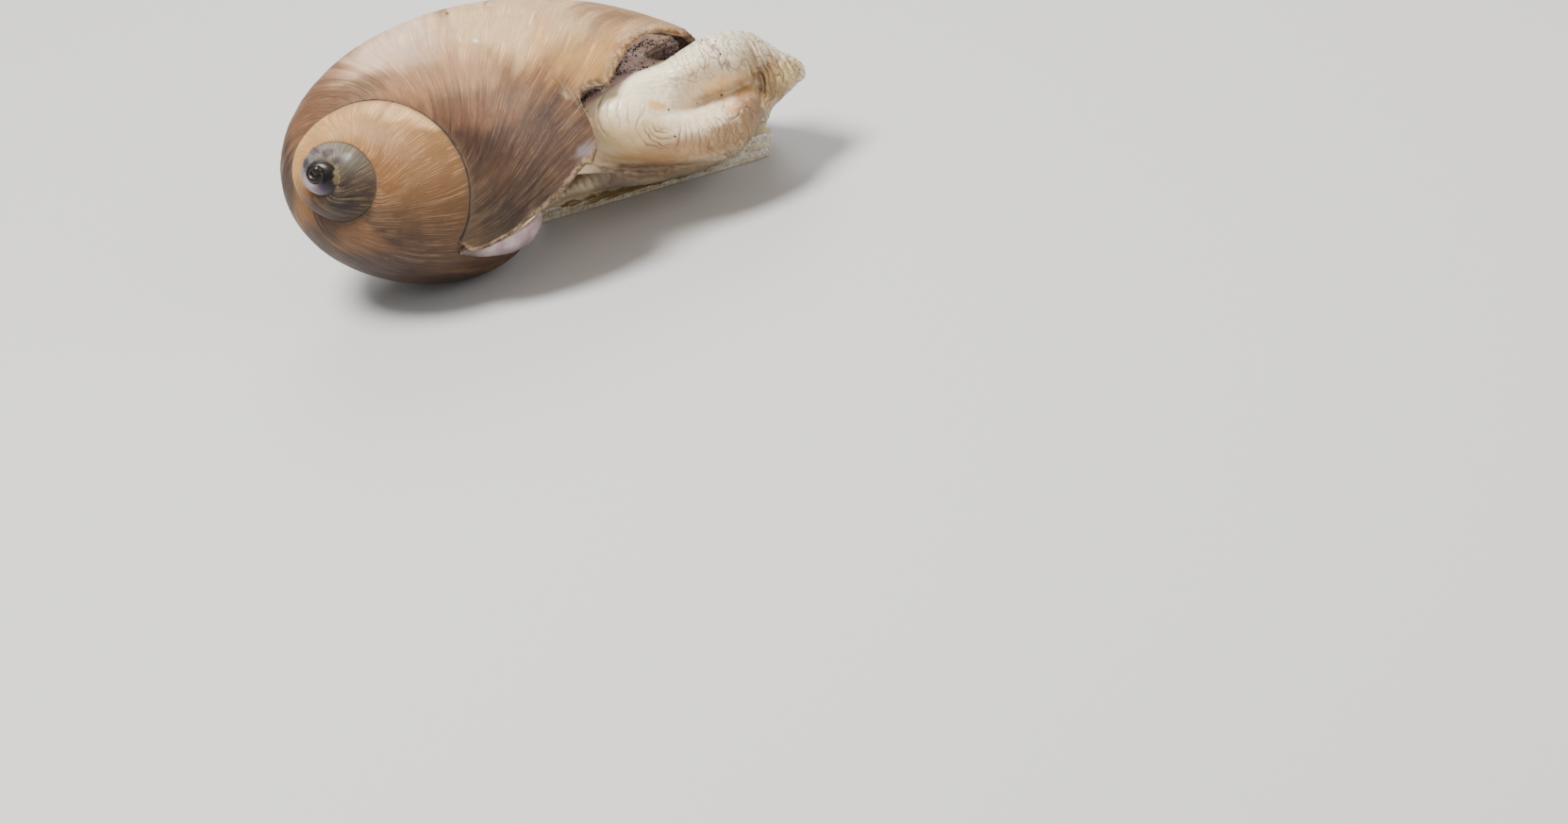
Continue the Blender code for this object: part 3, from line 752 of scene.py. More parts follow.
def surface_net(field, low, step):
    """Closed mesh of quads around the places where the field is below zero."""
    inside = field < 0
    rows, columns, layers = np.array(field.shape) - 1
    corners = sum(inside[i:i + rows, j:j + columns, k:k + layers].astype(np.int8)
                  for i in (0, 1) for j in (0, 1) for k in (0, 1))
    mixed = (corners > 0) & (corners < 8)
    cells = np.argwhere(mixed)
    index = np.full(mixed.shape, -1, np.int64)
    index[mixed] = np.arange(len(cells))
    total = np.zeros((len(cells), 3))
    count = np.zeros(len(cells))
    for axis in range(3):
        unit = np.eye(3, dtype=int)[axis]
        others = [k for k in range(3) if k != axis]
        for first in (0, 1):
            for second in (0, 1):
                offset = np.zeros(3, int)
                offset[others[0]], offset[others[1]] = first, second
                start = cells + offset
                end = start + unit
                a = field[start[:, 0], start[:, 1], start[:, 2]]
                b = field[end[:, 0], end[:, 1], end[:, 2]]
                crossed = (a < 0) != (b < 0)
                share = a[crossed] / (a[crossed] - b[crossed])
                total[crossed] += offset + share[:, None] * unit
                count[crossed] += 1
    points = low + step * (cells + total / count[:, None])
    faces = []
    for axis in range(3):
        first, second = [k for k in range(3) if k != axis]
        near = [slice(None)] * 3
        far = [slice(None)] * 3
        near[axis], far[axis] = slice(0, -1), slice(1, None)
        for other in (first, second):
            near[other] = far[other] = slice(1, -1)
        changed = np.argwhere(inside[tuple(near)] != inside[tuple(far)])
        changed[:, first] += 1
        changed[:, second] += 1
        around = []
        for a, b in ((1, 1), (0, 1), (0, 0), (1, 0)):
            place = changed.copy()
            place[:, first] -= a
            place[:, second] -= b
            around.append(index[place[:, 0], place[:, 1], place[:, 2]])
        quads = np.stack(around, 1)
        starts_inside = inside[changed[:, 0], changed[:, 1], changed[:, 2]]
        flip = starts_inside if axis == 1 else ~starts_inside
        quads[flip] = quads[flip][:, ::-1]
        faces.append(quads)
    return points, np.concatenate(faces)


# Main creases of the foot, in photo pixels with depths: the groove and the fold at its tail
GROOVE = [(690, 112, 0.3), (700, 120, 0.7), (712, 121, 0.9), (724, 120, 1.2), (737, 115, 1.7),
          (748, 107, 2.1), (762, 102, 2.4), (774, 99, 2.3), (785, 92, 1.8), (797, 84, 0.9), (806, 80, 0.3)]
TAIL_FOLD = [(781, 34, 0.3), (792, 44, 1.0), (799, 58, 1.4), (804, 74, 1.5), (806, 92, 1.5), (806, 110, 1.4),
             (803, 126, 0.9)]
# Finer creases: width in mm, depth in mm, darkness of the painted shade along them, and lines of photo pixels
CREASES = [
    # Nested curves at the left
    (0.22, 0.09, 0.45, [[(641, 100), (637, 108), (635, 117), (635, 127), (639, 139), (646, 149)],
                        [(680, 113), (681, 122), (677, 131), (675, 139), (679, 147), (684, 152)],
                        [(686, 113), (684, 121), (679, 129)],
                        [(651, 101), (646, 112), (645, 126), (649, 139)],
                        [(661, 103), (656, 113), (656, 127), (661, 141)],
                        [(671, 106), (667, 116), (666, 128), (670, 141)]]),
    # Nested curves below the groove
    (0.20, 0.10, 0.80, [[(687, 134), (691, 144), (699, 149), (709, 150), (717, 147)],
                        [(683, 131), (685, 143), (693, 152), (704, 156), (716, 153)],
                        [(692, 134), (696, 141), (703, 144), (711, 143)],
                        [(697, 136), (702, 140), (708, 139)],
                        [(678, 146), (686, 156), (699, 159), (712, 158)]]),
    # Upright wrinkles below the groove
    (0.20, 0.16, 0.75, [[(721, 131), (722, 143), (719, 154), (712, 162)],
                        [(727, 132), (728, 146), (725, 160)], [(733, 130), (735, 146), (733, 163)],
                        [(740, 131), (743, 147), (741, 165)], [(760, 128), (762, 141), (760, 156)],
                        [(768, 124), (772, 128), (779, 127), (784, 121), (788, 110)],
                        [(772, 128), (770, 142), (765, 158)], [(779, 129), (781, 141), (777, 154)],
                        [(788, 124), (790, 136), (786, 149)], [(795, 112), (797, 124), (794, 138)],
                        [(766, 104), (768, 114), (766, 122)], [(750, 148), (751, 154), (749, 161)]]),
    # Long wrinkles above the groove
    (0.20, 0.06, 0.28, [[(664, 90), (690, 84), (716, 80), (740, 81)],
                        [(660, 96), (686, 90), (714, 86), (744, 87)],
                        [(676, 82), (702, 74), (728, 71), (752, 74)],
                        [(652, 100), (676, 95), (704, 93), (730, 95)],
                        [(690, 76), (716, 64), (744, 62), (772, 70)],
                        [(650, 106), (672, 101), (698, 100), (722, 105)],
                        [(704, 68), (732, 52), (760, 50), (784, 60), (797, 76)],
                        [(716, 58), (744, 43), (770, 43), (788, 52)],
                        [(724, 48), (750, 36), (774, 39), (790, 48)],
                        [(782, 70), (786, 77), (794, 82), (800, 92)],
                        [(756, 40), (780, 46), (796, 62), (802, 80)]]),
    # The tail
    (0.24, 0.38, 0.85, [[(806, 50), (815, 66), (822, 82), (822, 96)],
                        [(812, 48), (823, 62), (831, 78), (830, 92)],
                        [(800, 44), (808, 60), (814, 80), (816, 102)], [(822, 52), (834, 66), (840, 80)],
                        [(796, 62), (806, 78), (811, 96), (812, 112)], [(788, 54), (798, 74), (802, 96)],
                        [(814, 84), (820, 100), (812, 114)], [(832, 58), (843, 72), (845, 82)],
                        [(812, 60), (818, 58), (826, 64)], [(818, 84), (827, 80), (836, 88)]]),
    # The folded sole
    (0.26, 0.35, 0.60, [[(627, 172), (652, 180), (684, 183), (704, 181), (720, 174)],
                        [(640, 168), (664, 176), (694, 177), (724, 175), (752, 170)],
                        [(634, 176), (644, 181), (647, 189), (643, 197)],
                        [(662, 186), (682, 190), (704, 186), (726, 181)],
                        [(628, 197), (652, 199), (676, 196), (702, 190)],
                        [(704, 181), (724, 186), (744, 180)],
                        [(730, 176), (750, 179), (768, 172), (780, 164)]]),
]
# Single dark specks on the foot: photo pixel and size in mm
BLACK_SPECKS = [(709, 118, 0.30), (716, 146, 0.28), (739, 110, 0.22), (765, 101, 0.28), (744, 43.5, 0.26),
                (758.5, 45, 0.16), (763.5, 59, 0.24), (740.6, 33.5, 0.2), (847.5, 73, 0.22), (791, 114, 0.2),
                (719, 97.5, 0.12), (690, 97, 0.1), (752, 158, 0.14)]
# Upper edge of the operculum's rim below the folds, in photo pixels
RIM_TOP = [(560, 232), (600, 207), (633, 199), (680, 195), (740, 180), (766, 170), (786, 158), (795, 147),
           (800, 137), (806, 127), (820, 111), (831, 100), (846, 86)]
# Slanted plane that ends the foot's upper fold towards the mantle, by places in mm of the front frame
SLANT_UP, SLANT_RIGHT, SLANT_HEIGHT = 0.837, -0.547, 17.6


def path_field(front, path, width):
    """Soft valley along one line of photo pixels with depths, 1 by default, seen from the front."""
    corners = np.array([from_pixel(*corner[:2]) for corner in path])
    depths = [corner[2] if len(corner) > 2 else 1.0 for corner in path]
    valley = np.zeros(front.shape[:-1])
    for k in range(len(corners) - 1):
        start, span = corners[k], corners[k + 1] - corners[k]
        across = front[..., 0] - start[0]
        up = front[..., 1] - start[1]
        share = np.clip((across * span[0] + up * span[1]) / (span @ span), 0, 1)
        away = (across - share * span[0]) ** 2 + (up - share * span[1]) ** 2
        depth = depths[k] + (depths[k + 1] - depths[k]) * share
        valley = np.maximum(valley, depth * np.exp(-away / width ** 2))
    return valley


def crease_field(front, paths, width):
    """The deepest of many creases, which fade out at their ends and wander a little."""
    wander = 0.28 * stacked(noise(front * 0.9, 71), noise(front * 0.9, 72))
    moved_front = front[..., :2] + wander
    result = np.zeros(front.shape[:-1])
    for path in paths:
        faded = [(*corner, 0.25 if k in (0, len(path) - 1) else 1.0) for k, corner in enumerate(path)]
        box = np.array([from_pixel(*corner) for corner in path])
        near = np.all((moved_front > box.min(0) - 1.5) & (moved_front < box.max(0) + 1.5), axis=-1)
        result[near] = np.maximum(result[near], path_field(moved_front[near], faded, width))
    return result


def above_slant(front):
    return SLANT_UP * front[..., 1] + SLANT_RIGHT * front[..., 0] + SLANT_HEIGHT


def make_flesh():
    """One closed skin for the foot, its folds and the mantle."""
    grid = Grid(GRID_LOW, GRID_HIGH, GRID_STEP)
    places = grid.points()
    front = to_front(places)
    solid, turn, angle, outside, end = shell_field(places)
    right, up, out = front[..., 0], front[..., 1], front[..., 2]
    lower = roll_field(grid, MESOPODIUM)
    upper = roll_field(grid, PROPODIUM)
    upper = smooth_both(upper, above_slant(front) * MM, 5 * MM)
    blend = (5.2 + 3.5 * (1 - smoothstep(58, 70, right)) - 1.8 * smoothstep(78, 84, right)) * MM
    flesh = smooth_union(lower, upper, blend)
    for stations, reach in ((METAPODIUM, 1.4), (FOOT_COLUMN, 2.0), (OPERCULAR_LOBE, 2.5), (SOLE_FOLDS, 0.7)):
        flesh = smooth_union(flesh, roll_field(grid, stations), reach * MM)
    corners = np.array([from_pixel(*corner) for corner in RIM_TOP])
    rim_top = np.interp(right, corners[:, 0], corners[:, 1])
    below = (rim_top - up) * MM - 0.02 * smoothstep(-40, -44, out)
    flesh = smooth_both(flesh, below, 1.2 * MM)
    shown = smoothstep(-34, -28, out)
    near = (np.abs(flesh) < 0.004) & (out > -36) & (right > 50)
    groove = np.zeros(grid.shape)
    groove[near] = path_field(front[near], GROOVE, 1.5) + path_field(front[near], TAIL_FOLD, 1.1)
    flesh = flesh + groove * shown * MM * 0.5
    section = np.degrees(angle)
    at_top = smoothstep(-85, -60, section) * smoothstep(34, 16, section)
    depth = (-outside - WALL) / MM
    recess = MANTLE_RECESS * (1 - 0.7 * at_top) + 38 * smoothstep(2.5 + 15 * at_top, 9 + 15 * at_top, depth)
    rim = (turn - end + recess / 360) * SPAN * 0.8
    mantle = smooth_both(outside + WALL + 0.0002, rim, (2.5 - 1.9 * at_top) * MM)
    mantle = np.maximum(mantle, (MANTLE_START - turn) * SPAN)
    mantle = np.where(turn < -0.03, mantle, FAR)
    flesh = smooth_union(flesh, mantle, 0.8 * MM)
    flesh = smooth_both(flesh, FLESH_CLEARANCE - solid, 0.3 * MM)
    flesh = np.maximum(flesh, lid_height(places) - places[..., 2])
    points, faces = surface_net(flesh, grid.low, grid.step)
    piece = new_piece("soft_body", points, faces)
    piece.modifiers.new("fine", "SUBSURF").levels = 1
    bake_modifiers(piece)
    dress_flesh(piece)
    return piece


def lid_height(places):
    """Floor level, or the top of the operculum where the foot lies on it."""
    x, y = lid_places(places)
    inside = lid_share(x, y)
    bottom = (OPERCULUM_THICKNESS + 0.00005) * smoothstep(1.03, 0.99, inside)
    return bottom + 0.00002


def dress_flesh(piece):
    """Creases in the surface of the skin, and its attributes for the material, with painted shade along the
    creases.
    """
    points = mesh_points(piece)
    normals = mesh_points(piece, "normal")
    front = to_front(points)
    facing = normals @ np.array(POSE)[:3, 2]
    shown = smoothstep(0.05, 0.35, facing) * smoothstep(-40, -34, front[:, 2])
    depth, lines = np.zeros(len(points)), np.zeros(len(points))
    for width, deep, shade_darkness, paths in CREASES:
        creases = crease_field(front, paths, width)
        depth += deep * creases
        lines = np.maximum(lines, shade_darkness * creases)
    turns, angles, distances = shell_places(points, (-1,))
    section = np.degrees(angles[0])
    rim = (turns[0] - lip_turn(angles[0])) * SPAN / MM
    mantle = smoothstep(0.1, 0.9, above_slant(front)) * smoothstep(7.0, 4.0, rim)
    mantle = np.maximum(mantle, smoothstep(0.0, -1.5, rim + 1.0) * (distances[0] < -0.0012))
    mantle = mantle * (1 - smoothstep(24, 40, section) * smoothstep(110, 95, section))
    mantle = mantle * smoothstep(1.5, 4.0, front[:, 1])
    foot = 1 - mantle
    wrinkles = layered_noise(front * np.array([1.1, 1.1, 0.7]), 81, 3)
    rough_end = smoothstep(60, 86, front[:, 0] + 0.3 * front[:, 1])
    relief = -(depth * shown * foot) + wrinkles * (0.05 + 0.16 * rough_end)
    room = smoothstep(0.0001, 0.0012, points[:, 2])
    move_points(piece, points + normals * (relief * room * MM)[:, None])
    # Dark lines along the groove, the tail fold and the finer creases: painted shade.
    groove_shade_line = path_field(front, GROOVE, 0.4) * 0.10
    tail_fold_shade_line = path_field(front, TAIL_FOLD, 0.45) * 0.6
    valley = np.clip(path_field(front, GROOVE, 3.0), 0, 1)
    crease = np.maximum.reduce([lines, groove_shade_line, tail_fold_shade_line]) * shown * foot
    put_attributes(piece, crease=crease, mantle=mantle, veined=rough_end * foot * (1 - 0.7 * valley),
                   ground=ground_colours(points, rgb(*FLESH_BASE), FLESH_PATCHES_WITH_PAINTED_SHADE) ** FLESH_DEPTH,
                   around=np.hypot(front[:, 0] - 66, (front[:, 1] - 8.5) * 1.2),
                   along=front[:, 0] * 0.45 + front[:, 1], upright=front[:, 0] + 0.28 * front[:, 1])


# Colours of the foot: pigment depth, base and soft patches by photo pixels; the brown patches at the lower
# right and on the tail are partly painted shade
FLESH_DEPTH = 1.25
FLESH_BASE = (226, 210, 182)
FLESH_PATCHES_WITH_PAINTED_SHADE = [(745, 45, 62, 24, 12, (236, 224, 204), 0.9), (700, 86, 52, 24, 25, (242, 230, 204), 0.9),
                 (648, 118, 22, 30, 15, (226, 212, 182), 0.8), (660, 150, 34, 20, -22, (212, 186, 140), 0.9),
                 (715, 162, 60, 16, 4, (182, 144, 94), 0.95), (690, 142, 26, 16, 0, (220, 192, 146), 0.7),
                 (697, 114, 12, 5, -15, (230, 184, 120), 0.8), (742, 80, 22, 10, 20, (228, 206, 172), 0.7),
                 (760, 92, 18, 13, 20, (240, 208, 160), 0.8), (776, 84, 18, 9, 20, (236, 200, 150), 0.6),
                 (722, 123, 22, 6, 8, (240, 232, 216), 0.8), (752, 112, 16, 6, 25, (236, 222, 200), 0.7),
                 (778, 103, 10, 4, 5, (240, 222, 204), 0.7), (778, 117, 11, 9, 0, (222, 176, 122), 0.8),
                 (796, 120, 17, 32, 12, (140, 104, 64), 0.88), (770, 146, 32, 16, 22, (166, 130, 84), 0.85),
                 (790, 92, 12, 16, 0, (190, 152, 106), 0.6), (792, 70, 14, 18, -20, (196, 172, 128), 0.6),
                 (820, 88, 28, 36, 0, (158, 130, 84), 0.9), (838, 74, 13, 18, -40, (200, 182, 128), 0.9),
                 (824, 50, 20, 6, -30, (214, 208, 186), 0.8), (800, 40, 14, 6, -30, (206, 190, 156), 0.7),
                 (655, 188, 34, 12, 6, (164, 150, 136), 0.95), (700, 181, 44, 9, 6, (148, 126, 104), 0.9),
                 (735, 180, 34, 10, 14, (172, 154, 126), 0.8), (672, 176, 34, 4, 2, (128, 106, 88), 0.7),
                 (640, 201, 18, 6, 10, (150, 136, 120), 0.6)]


# Edge of the lip over the mantle, in photo pixels, where sand lies
LIP_EDGE = [(728, 36), (716, 38), (700, 39), (686, 42), (673, 47), (663, 54), (658, 62), (655, 70), (652, 79)]
SAND_EDGE = [(735, 46), (722, 50), (708, 57), (698, 66), (688, 74), (676, 77), (664, 78), (655, 80)]
# Dirt in the notch of the lip, in photo pixels
NOTCH_DIRT = [(650, 82), (643, 90), (634, 97), (625, 101), (618, 107), (616, 114), (620, 120)]
NOTCH_COUNT = 160
GRAIN_COUNT = 420
GRAIN_SEED = 11


def lid_places(places):
    """Places along and across the operculum, in metres."""
    turn = math.radians(OPERCULUM_TURN)
    x = places[..., 0] - OPERCULUM_CENTRE[0] - STAND_SHIFT[0]
    y = places[..., 1] - OPERCULUM_CENTRE[1] - STAND_SHIFT[1]
    return x * math.cos(turn) + y * math.sin(turn), y * math.cos(turn) - x * math.sin(turn)


def lid_share(x, y):
    """How far out a place lies on the operculum: 1 at its edge."""
    long_way = np.abs(x) / OPERCULUM_HALF_LENGTH
    half_width = OPERCULUM_HALF_WIDTH * np.where(y > 0, 1 - OPERCULUM_TAPER * x / OPERCULUM_HALF_LENGTH, 1.0)
    wide_way = np.abs(y) / half_width
    near = wide_way ** (2 / OPERCULUM_NEAR_BEND)
    far = wide_way ** (2 / OPERCULUM_FAR_BEND)
    return np.sqrt(long_way ** 2 + np.where(y > 0, far, np.minimum(near, 4.0)))


def lid_matrix():
    x, y = OPERCULUM_CENTRE[0] + STAND_SHIFT[0], OPERCULUM_CENTRE[1] + STAND_SHIFT[1]
    return Matrix.Translation((x, y, 0)) @ rotation(OPERCULUM_TURN, "Z")


def lid_outline(angle, share=1.0):
    """Places of the operculum's outline, as in the solids."""
    long_way = np.cos(angle)
    bend = np.where(np.sin(angle) < 0, OPERCULUM_NEAR_BEND, OPERCULUM_FAR_BEND)
    wide_way = np.sign(np.sin(angle)) * np.abs(np.sin(angle)) ** bend
    taper = np.where(wide_way > 0, 1 - OPERCULUM_TAPER * long_way, 1.0)
    return OPERCULUM_HALF_LENGTH * share * long_way, OPERCULUM_HALF_WIDTH * share * wide_way * taper


def lid_plate():
    """The flat of the operculum with its growth steps, as one thin closed plate."""
    angle = np.linspace(0, math.tau, 720, endpoint=False)
    ragged = 0.010 * layered_noise(stacked(np.cos(angle) * 14, np.sin(angle) * 14), 91, 3)
    shares = np.concatenate([np.linspace(0.04, 0.97, 80), [0.985, 0.995]])
    top, bottom = [], []
    for share in shares:
        x, y = lid_outline(angle, share * (1 + np.minimum(ragged, 0) * share))
        steps = np.sin(share * 46 + 2.5 * noise(stacked(x, y) * 120, 92))
        height = 0.92 * MM + 0.05 * MM * steps * smoothstep(1.0, 0.9, share)
        height = height - 0.3 * MM * smoothstep(0.9, 1.0, share)
        top.append(stacked(x, y, height))
        bottom.append(stacked(x, y, 0.03 * MM))
    rings = np.array(top + bottom[::-1])
    return tube_piece("operculum_plate", moved(lid_matrix(), rings))


# Layers along the near edge of the operculum, in mm along it and across it
LAYER_COUNT = 9
LAYER_START = -22.6
LAYER_END = 24.0
LAYER_BACK = -13.4
TALLEST_LAYER = 5.2
# The broken bits at its right end: corners in photo pixels, place towards the viewer in mm, and bend
BITS = [([(804, 128), (817.5, 134), (815, 141), (808.7, 150), (802.5, 150), (792, 146), (790, 138)],
         -39.0, 0.10),
        ([(795, 146), (806, 143), (811, 149), (806, 155), (792, 158)], -38.0, 0.05)]
BIT_THICKNESS = 0.28


def lid_layers():
    """The ragged, turned-up layers along the near edge of the operculum."""
    layers = []
    random = np.random.default_rng(5)
    for layer in range(LAYER_COUNT):
        start = LAYER_START + random.uniform(0, 5) * (layer % 3)
        end = LAYER_END - random.uniform(0, 2.2) * ((layer + 1) % 3)
        x = np.linspace(start, end, 380)
        ends = smoothstep(start, start + 2.5, x) * (0.35 + 0.65 * smoothstep(end, end - 1.2, x))
        tall = 0.60 + 0.20 * layer + (0.25 + 0.33 * layer) * smoothstep(2, 20, x)
        tatter = layered_noise(stacked(x * 0.55, layer * 3.7), 93, 4)
        splits = np.clip(noise(stacked(x * 1.6, layer * 5.1), 95) - 0.3, 0, 1)
        height = (tall * (1 + 0.30 * tatter) - 0.5 * tall * splits) * ends
        height = np.clip(height, 0.05, TALLEST_LAYER)
        wave = 0.25 * noise(stacked(x * 0.25, layer * 2.3), 94)
        x_grid, level_grid = np.meshgrid(x, np.linspace(0, 1, 9), indexing="ij")
        rise = height[:, None] * level_grid
        back = LAYER_BACK + 0.24 * layer + wave[:, None] * (0.3 + 0.7 * level_grid) - 0.50 * rise
        ribs = np.sin((x_grid * 2.0 - rise * 1.7) * 3.1 + 2.2 * noise(stacked(x_grid, rise) * 0.8, 96))
        back = back + 0.05 * ribs * level_grid * smoothstep(4, 14, x_grid)
        shift = 0.5 * rise * smoothstep(8, 22, x_grid)
        outer = stacked(x_grid + shift, back, rise + 0.05)
        thin = 0.20 - 0.12 * level_grid
        inner = outer + stacked(0, thin, 0)
        rings = np.concatenate([outer, inner[:, ::-1]], axis=1) * MM
        layers.append(tube_piece("layer", moved(lid_matrix(), rings)))
    return layers


def shard(corners, out, bend):
    """A thin broken plate with straight edges, facing the front."""
    flat = [from_pixel(*corner) for corner in corners]
    centre = np.mean(flat, axis=0)
    rings = []
    for depth, shrink in ((-0.5, 0.97), (-0.2, 1.0), (0.2, 1.0), (0.5, 0.95)):
        ring = []
        for right, up in flat:
            x = centre[0] + (right - centre[0]) * shrink
            y = centre[1] + (up - centre[1]) * shrink
            ring.append((x * MM, y * MM, (out + depth * BIT_THICKNESS + bend * (right - flat[0][0])) * MM))
        rings.append(ring)
    return tube_piece("shard", moved(POSE, np.array(rings)))


def merged(name, pieces):
    """One object of several closed meshes."""
    points, faces, count = [], [], 0
    for piece in pieces:
        corners = mesh_points(piece)
        piece.data.calc_loop_triangles()
        triangles = np.zeros(len(piece.data.loop_triangles) * 3, np.int32)
        piece.data.loop_triangles.foreach_get("vertices", triangles)
        points.append(corners)
        faces.append(triangles.reshape(-1, 3) + count)
        count += len(corners)
        bpy.data.objects.remove(piece, do_unlink=True)
    return new_piece(name, np.concatenate(points), np.concatenate(faces))


def make_lid():
    """The operculum: plate, layers of its edge and broken bits."""
    bits = [shard(*row) for row in BITS]
    bit_points = sum(len(piece.data.vertices) for piece in bits)
    lid = merged("operculum", [lid_plate()] + lid_layers() + bits)
    points = mesh_points(lid)
    x, y = lid_places(points)
    put_attributes(lid, long_way=x / MM, share=lid_share(x, y), height=points[:, 2] / MM,
                   broken_bit=np.arange(len(points)) >= len(points) - bit_points)
    return lid


def make_callus():
    """The glossy pad on the inner wall of the aperture."""
    stations, sides = 150, 40
    share = np.linspace(0, 1, stations)
    angle = np.radians(CALLUS_ANGLES[0] + (CALLUS_ANGLES[1] - CALLUS_ANGLES[0]) * share)[:, None]
    middle = (CALLUS_TURNS[0] + (CALLUS_TURNS[1] - CALLUS_TURNS[0]) * share)[:, None]
    width = np.sin(math.pi * (CALLUS_ENDS[0] + (CALLUS_ENDS[1] - CALLUS_ENDS[0]) * share))
    wander = 1 + 0.06 * noise(stacked(share * 9, 0), 97)
    half = (CALLUS_HALF_WIDTH / 360 * width * wander)[:, None]
    around = np.linspace(0, math.tau, sides, endpoint=False)[None, :]
    uneven = 1 + 0.10 * noise(stacked(share * 14, 0), 98)
    swell = CALLUS_THICKNESS * np.sin(around) * uneven[:, None]
    rings = whorl_points(middle + half * np.cos(around), angle, -swell)
    callus = tube_piece("callus", rings)
    put_attributes(callus, along=np.append(np.repeat(share, sides), [0, 1]))
    return callus


def surface_hit(tree, right, down):
    """Place and normal where the front sees a photo pixel, or nothing."""
    x, y = from_pixel(right, down)
    start = POSE @ Vector((x * MM, y * MM, 0.06))
    direction = (POSE.to_3x3() @ Vector((0, 0, -1))).normalized()
    place, normal, _, _ = tree.ray_cast(start, direction)
    return place, normal


def pebble():
    """Corners and faces of a regular pebble with twenty faces."""
    builder = bmesh.new()
    bmesh.ops.create_icosphere(builder, subdivisions=1, radius=1.0)
    corners = np.array([vert.co for vert in builder.verts])
    faces = np.array([[vert.index for vert in face.verts] for face in builder.faces])
    builder.free()
    return corners, faces


def path_place(path, along):
    """The pixel at a place along a path, counted in its corners."""
    return np.array([np.interp(along, np.arange(len(path)), column) for column in np.transpose(path)])


def grain_at(place, normal, size, random, corners):
    """One angular grain, half sunk in the skin."""
    shape = corners * random.uniform(0.6, 1.2, (len(corners), 1)) * random.uniform(0.7, 1.2, 3)
    return np.array(place) + np.array(normal) * size * 0.2 + shape * size


def make_grains(flesh):
    """Sand on the mantle edge and single specks on the foot, as one mesh of small angular stones."""
    depsgraph = bpy.context.evaluated_depsgraph_get()
    tree = BVHTree.FromObject(flesh, depsgraph)
    random = np.random.default_rng(GRAIN_SEED)
    places = []
    for _ in range(GRAIN_COUNT):
        along = random.uniform(0, 1)
        first = path_place(LIP_EDGE, along * (len(LIP_EDGE) - 1))
        second = path_place(SAND_EDGE, along * (len(SAND_EDGE) - 1))
        near_lip = random.uniform() < 0.62
        share = abs(random.normal(0, 0.22)) if near_lip else 1.0 - abs(random.normal(0, 0.28))
        pixel = first + (second - first) * share + random.normal(0, 1.2, 2)
        places.append((*pixel, random.uniform(0.10, 0.30) * random.uniform(0.6, 1.0)))
    for _ in range(NOTCH_COUNT):
        pixel = path_place(NOTCH_DIRT, random.uniform(0, len(NOTCH_DIRT) - 1)) + random.normal(0, 1.8, 2)
        places.append((*pixel, random.uniform(0.10, 0.24)))
    places += BLACK_SPECKS
    corners, sides = pebble()
    points, faces, tones = [], [], []
    for number, (right, down, size) in enumerate(places):
        place, normal = surface_hit(tree, right, down)
        if place is None:
            continue
        faces.append(sides + len(corners) * len(points))
        points.append(grain_at(place, normal, size * MM, random, corners))
        dark = number >= GRAIN_COUNT or random.uniform() < 0.62
        tone = random.uniform(0.004, 0.03) if dark else random.uniform(0.12, 0.55)
        tones += [tone] * len(corners)
    grains = new_piece("sand_grains", np.concatenate(points), np.concatenate(faces))
    grains.data.shade_flat()
    put_attributes(grains, tone=tones)
    return grains


# Colours of the whorls by turn, and soft patches of the body whorl by photo pixels
TURN_COLOURS = [(-4.3, (12, 12, 24)), (-3.02, (14, 14, 28)), (-2.93, (96, 84, 100)), (-2.80, (176, 164, 168)),
                (-2.62, (150, 146, 146)), (-2.50, (130, 130, 126)), (-2.25, (120, 116, 106)),
                (-2.05, (70, 54, 46)), (-1.90, (62, 44, 34)), (-1.80, (96, 68, 46)), (-1.62, (178, 148, 104)),
                (-1.35, (186, 154, 112)), (-1.15, (150, 118, 82)), (-0.95, (90, 66, 50)),
                (0.0, (126, 94, 66))]
BODY_BASE = (136, 106, 78)
# The pale pinkish-grey patches at the top of the body whorl are partly painted sheen of reflected sky; the
# dark brown patches low down, between the lip and the callus, are partly painted shade and shadow.
BODY_PATCHES_WITH_PAINTED_SHEEN_AND_SHADE = [(560, 26, 140, 46, -4, (206, 182, 150), 0.9), (420, 60, 70, 34, 25, (204, 182, 162), 0.8),
                (408, 48, 44, 24, 35, (218, 200, 184), 0.5), (500, 74, 44, 30, 0, (186, 156, 124), 0.6),
                (620, 64, 56, 44, 0, (188, 156, 110), 0.9), (430, 95, 60, 22, 10, (160, 126, 94), 0.85),
                (376, 98, 34, 12, 20, (106, 80, 60), 0.7), (330, 120, 40, 40, 45, (118, 88, 68), 0.7),
                (566, 172, 104, 72, -14, (82, 55, 42), 0.95), (520, 122, 44, 20, 0, (134, 98, 72), 0.7),
                (590, 215, 46, 40, -30, (72, 50, 40), 0.85), (516, 238, 34, 40, 0, (64, 50, 38), 0.85),
                (505, 190, 20, 50, 0, (76, 56, 44), 0.6), (430, 288, 120, 24, -2, (72, 50, 46), 0.9),
                (330, 262, 40, 26, 45, (70, 48, 42), 0.85), (304, 195, 9, 55, 0, (56, 38, 38), 0.9),
                (318, 226, 8, 24, -15, (146, 118, 72), 0.45), (505, 45, 3.5, 2.5, 0, (226, 222, 214), 0.8),
                (474, 14, 2, 2, 0, (20, 18, 18), 1.0), (604, 103, 10, 4, -20, (186, 172, 150), 0.7),
                (640, 150, 12, 20, 0, (112, 82, 62), 0.6), (545, 236, 30, 22, -30, (70, 54, 42), 0.9)]
LIP_PATCHES = [(694, 42, 44, 9, 14, (168, 112, 62), 0.85), (632, 101, 20, 15, 35, (56, 48, 36), 0.85),
               (618, 112, 10, 8, 0, (40, 33, 25), 0.8), (622, 162, 14, 8, 35, (168, 164, 174), 0.6),
               (626, 178, 10, 6, 0, (48, 36, 28), 0.85), (690, 16, 60, 5, -14, (176, 150, 110), 0.6)]
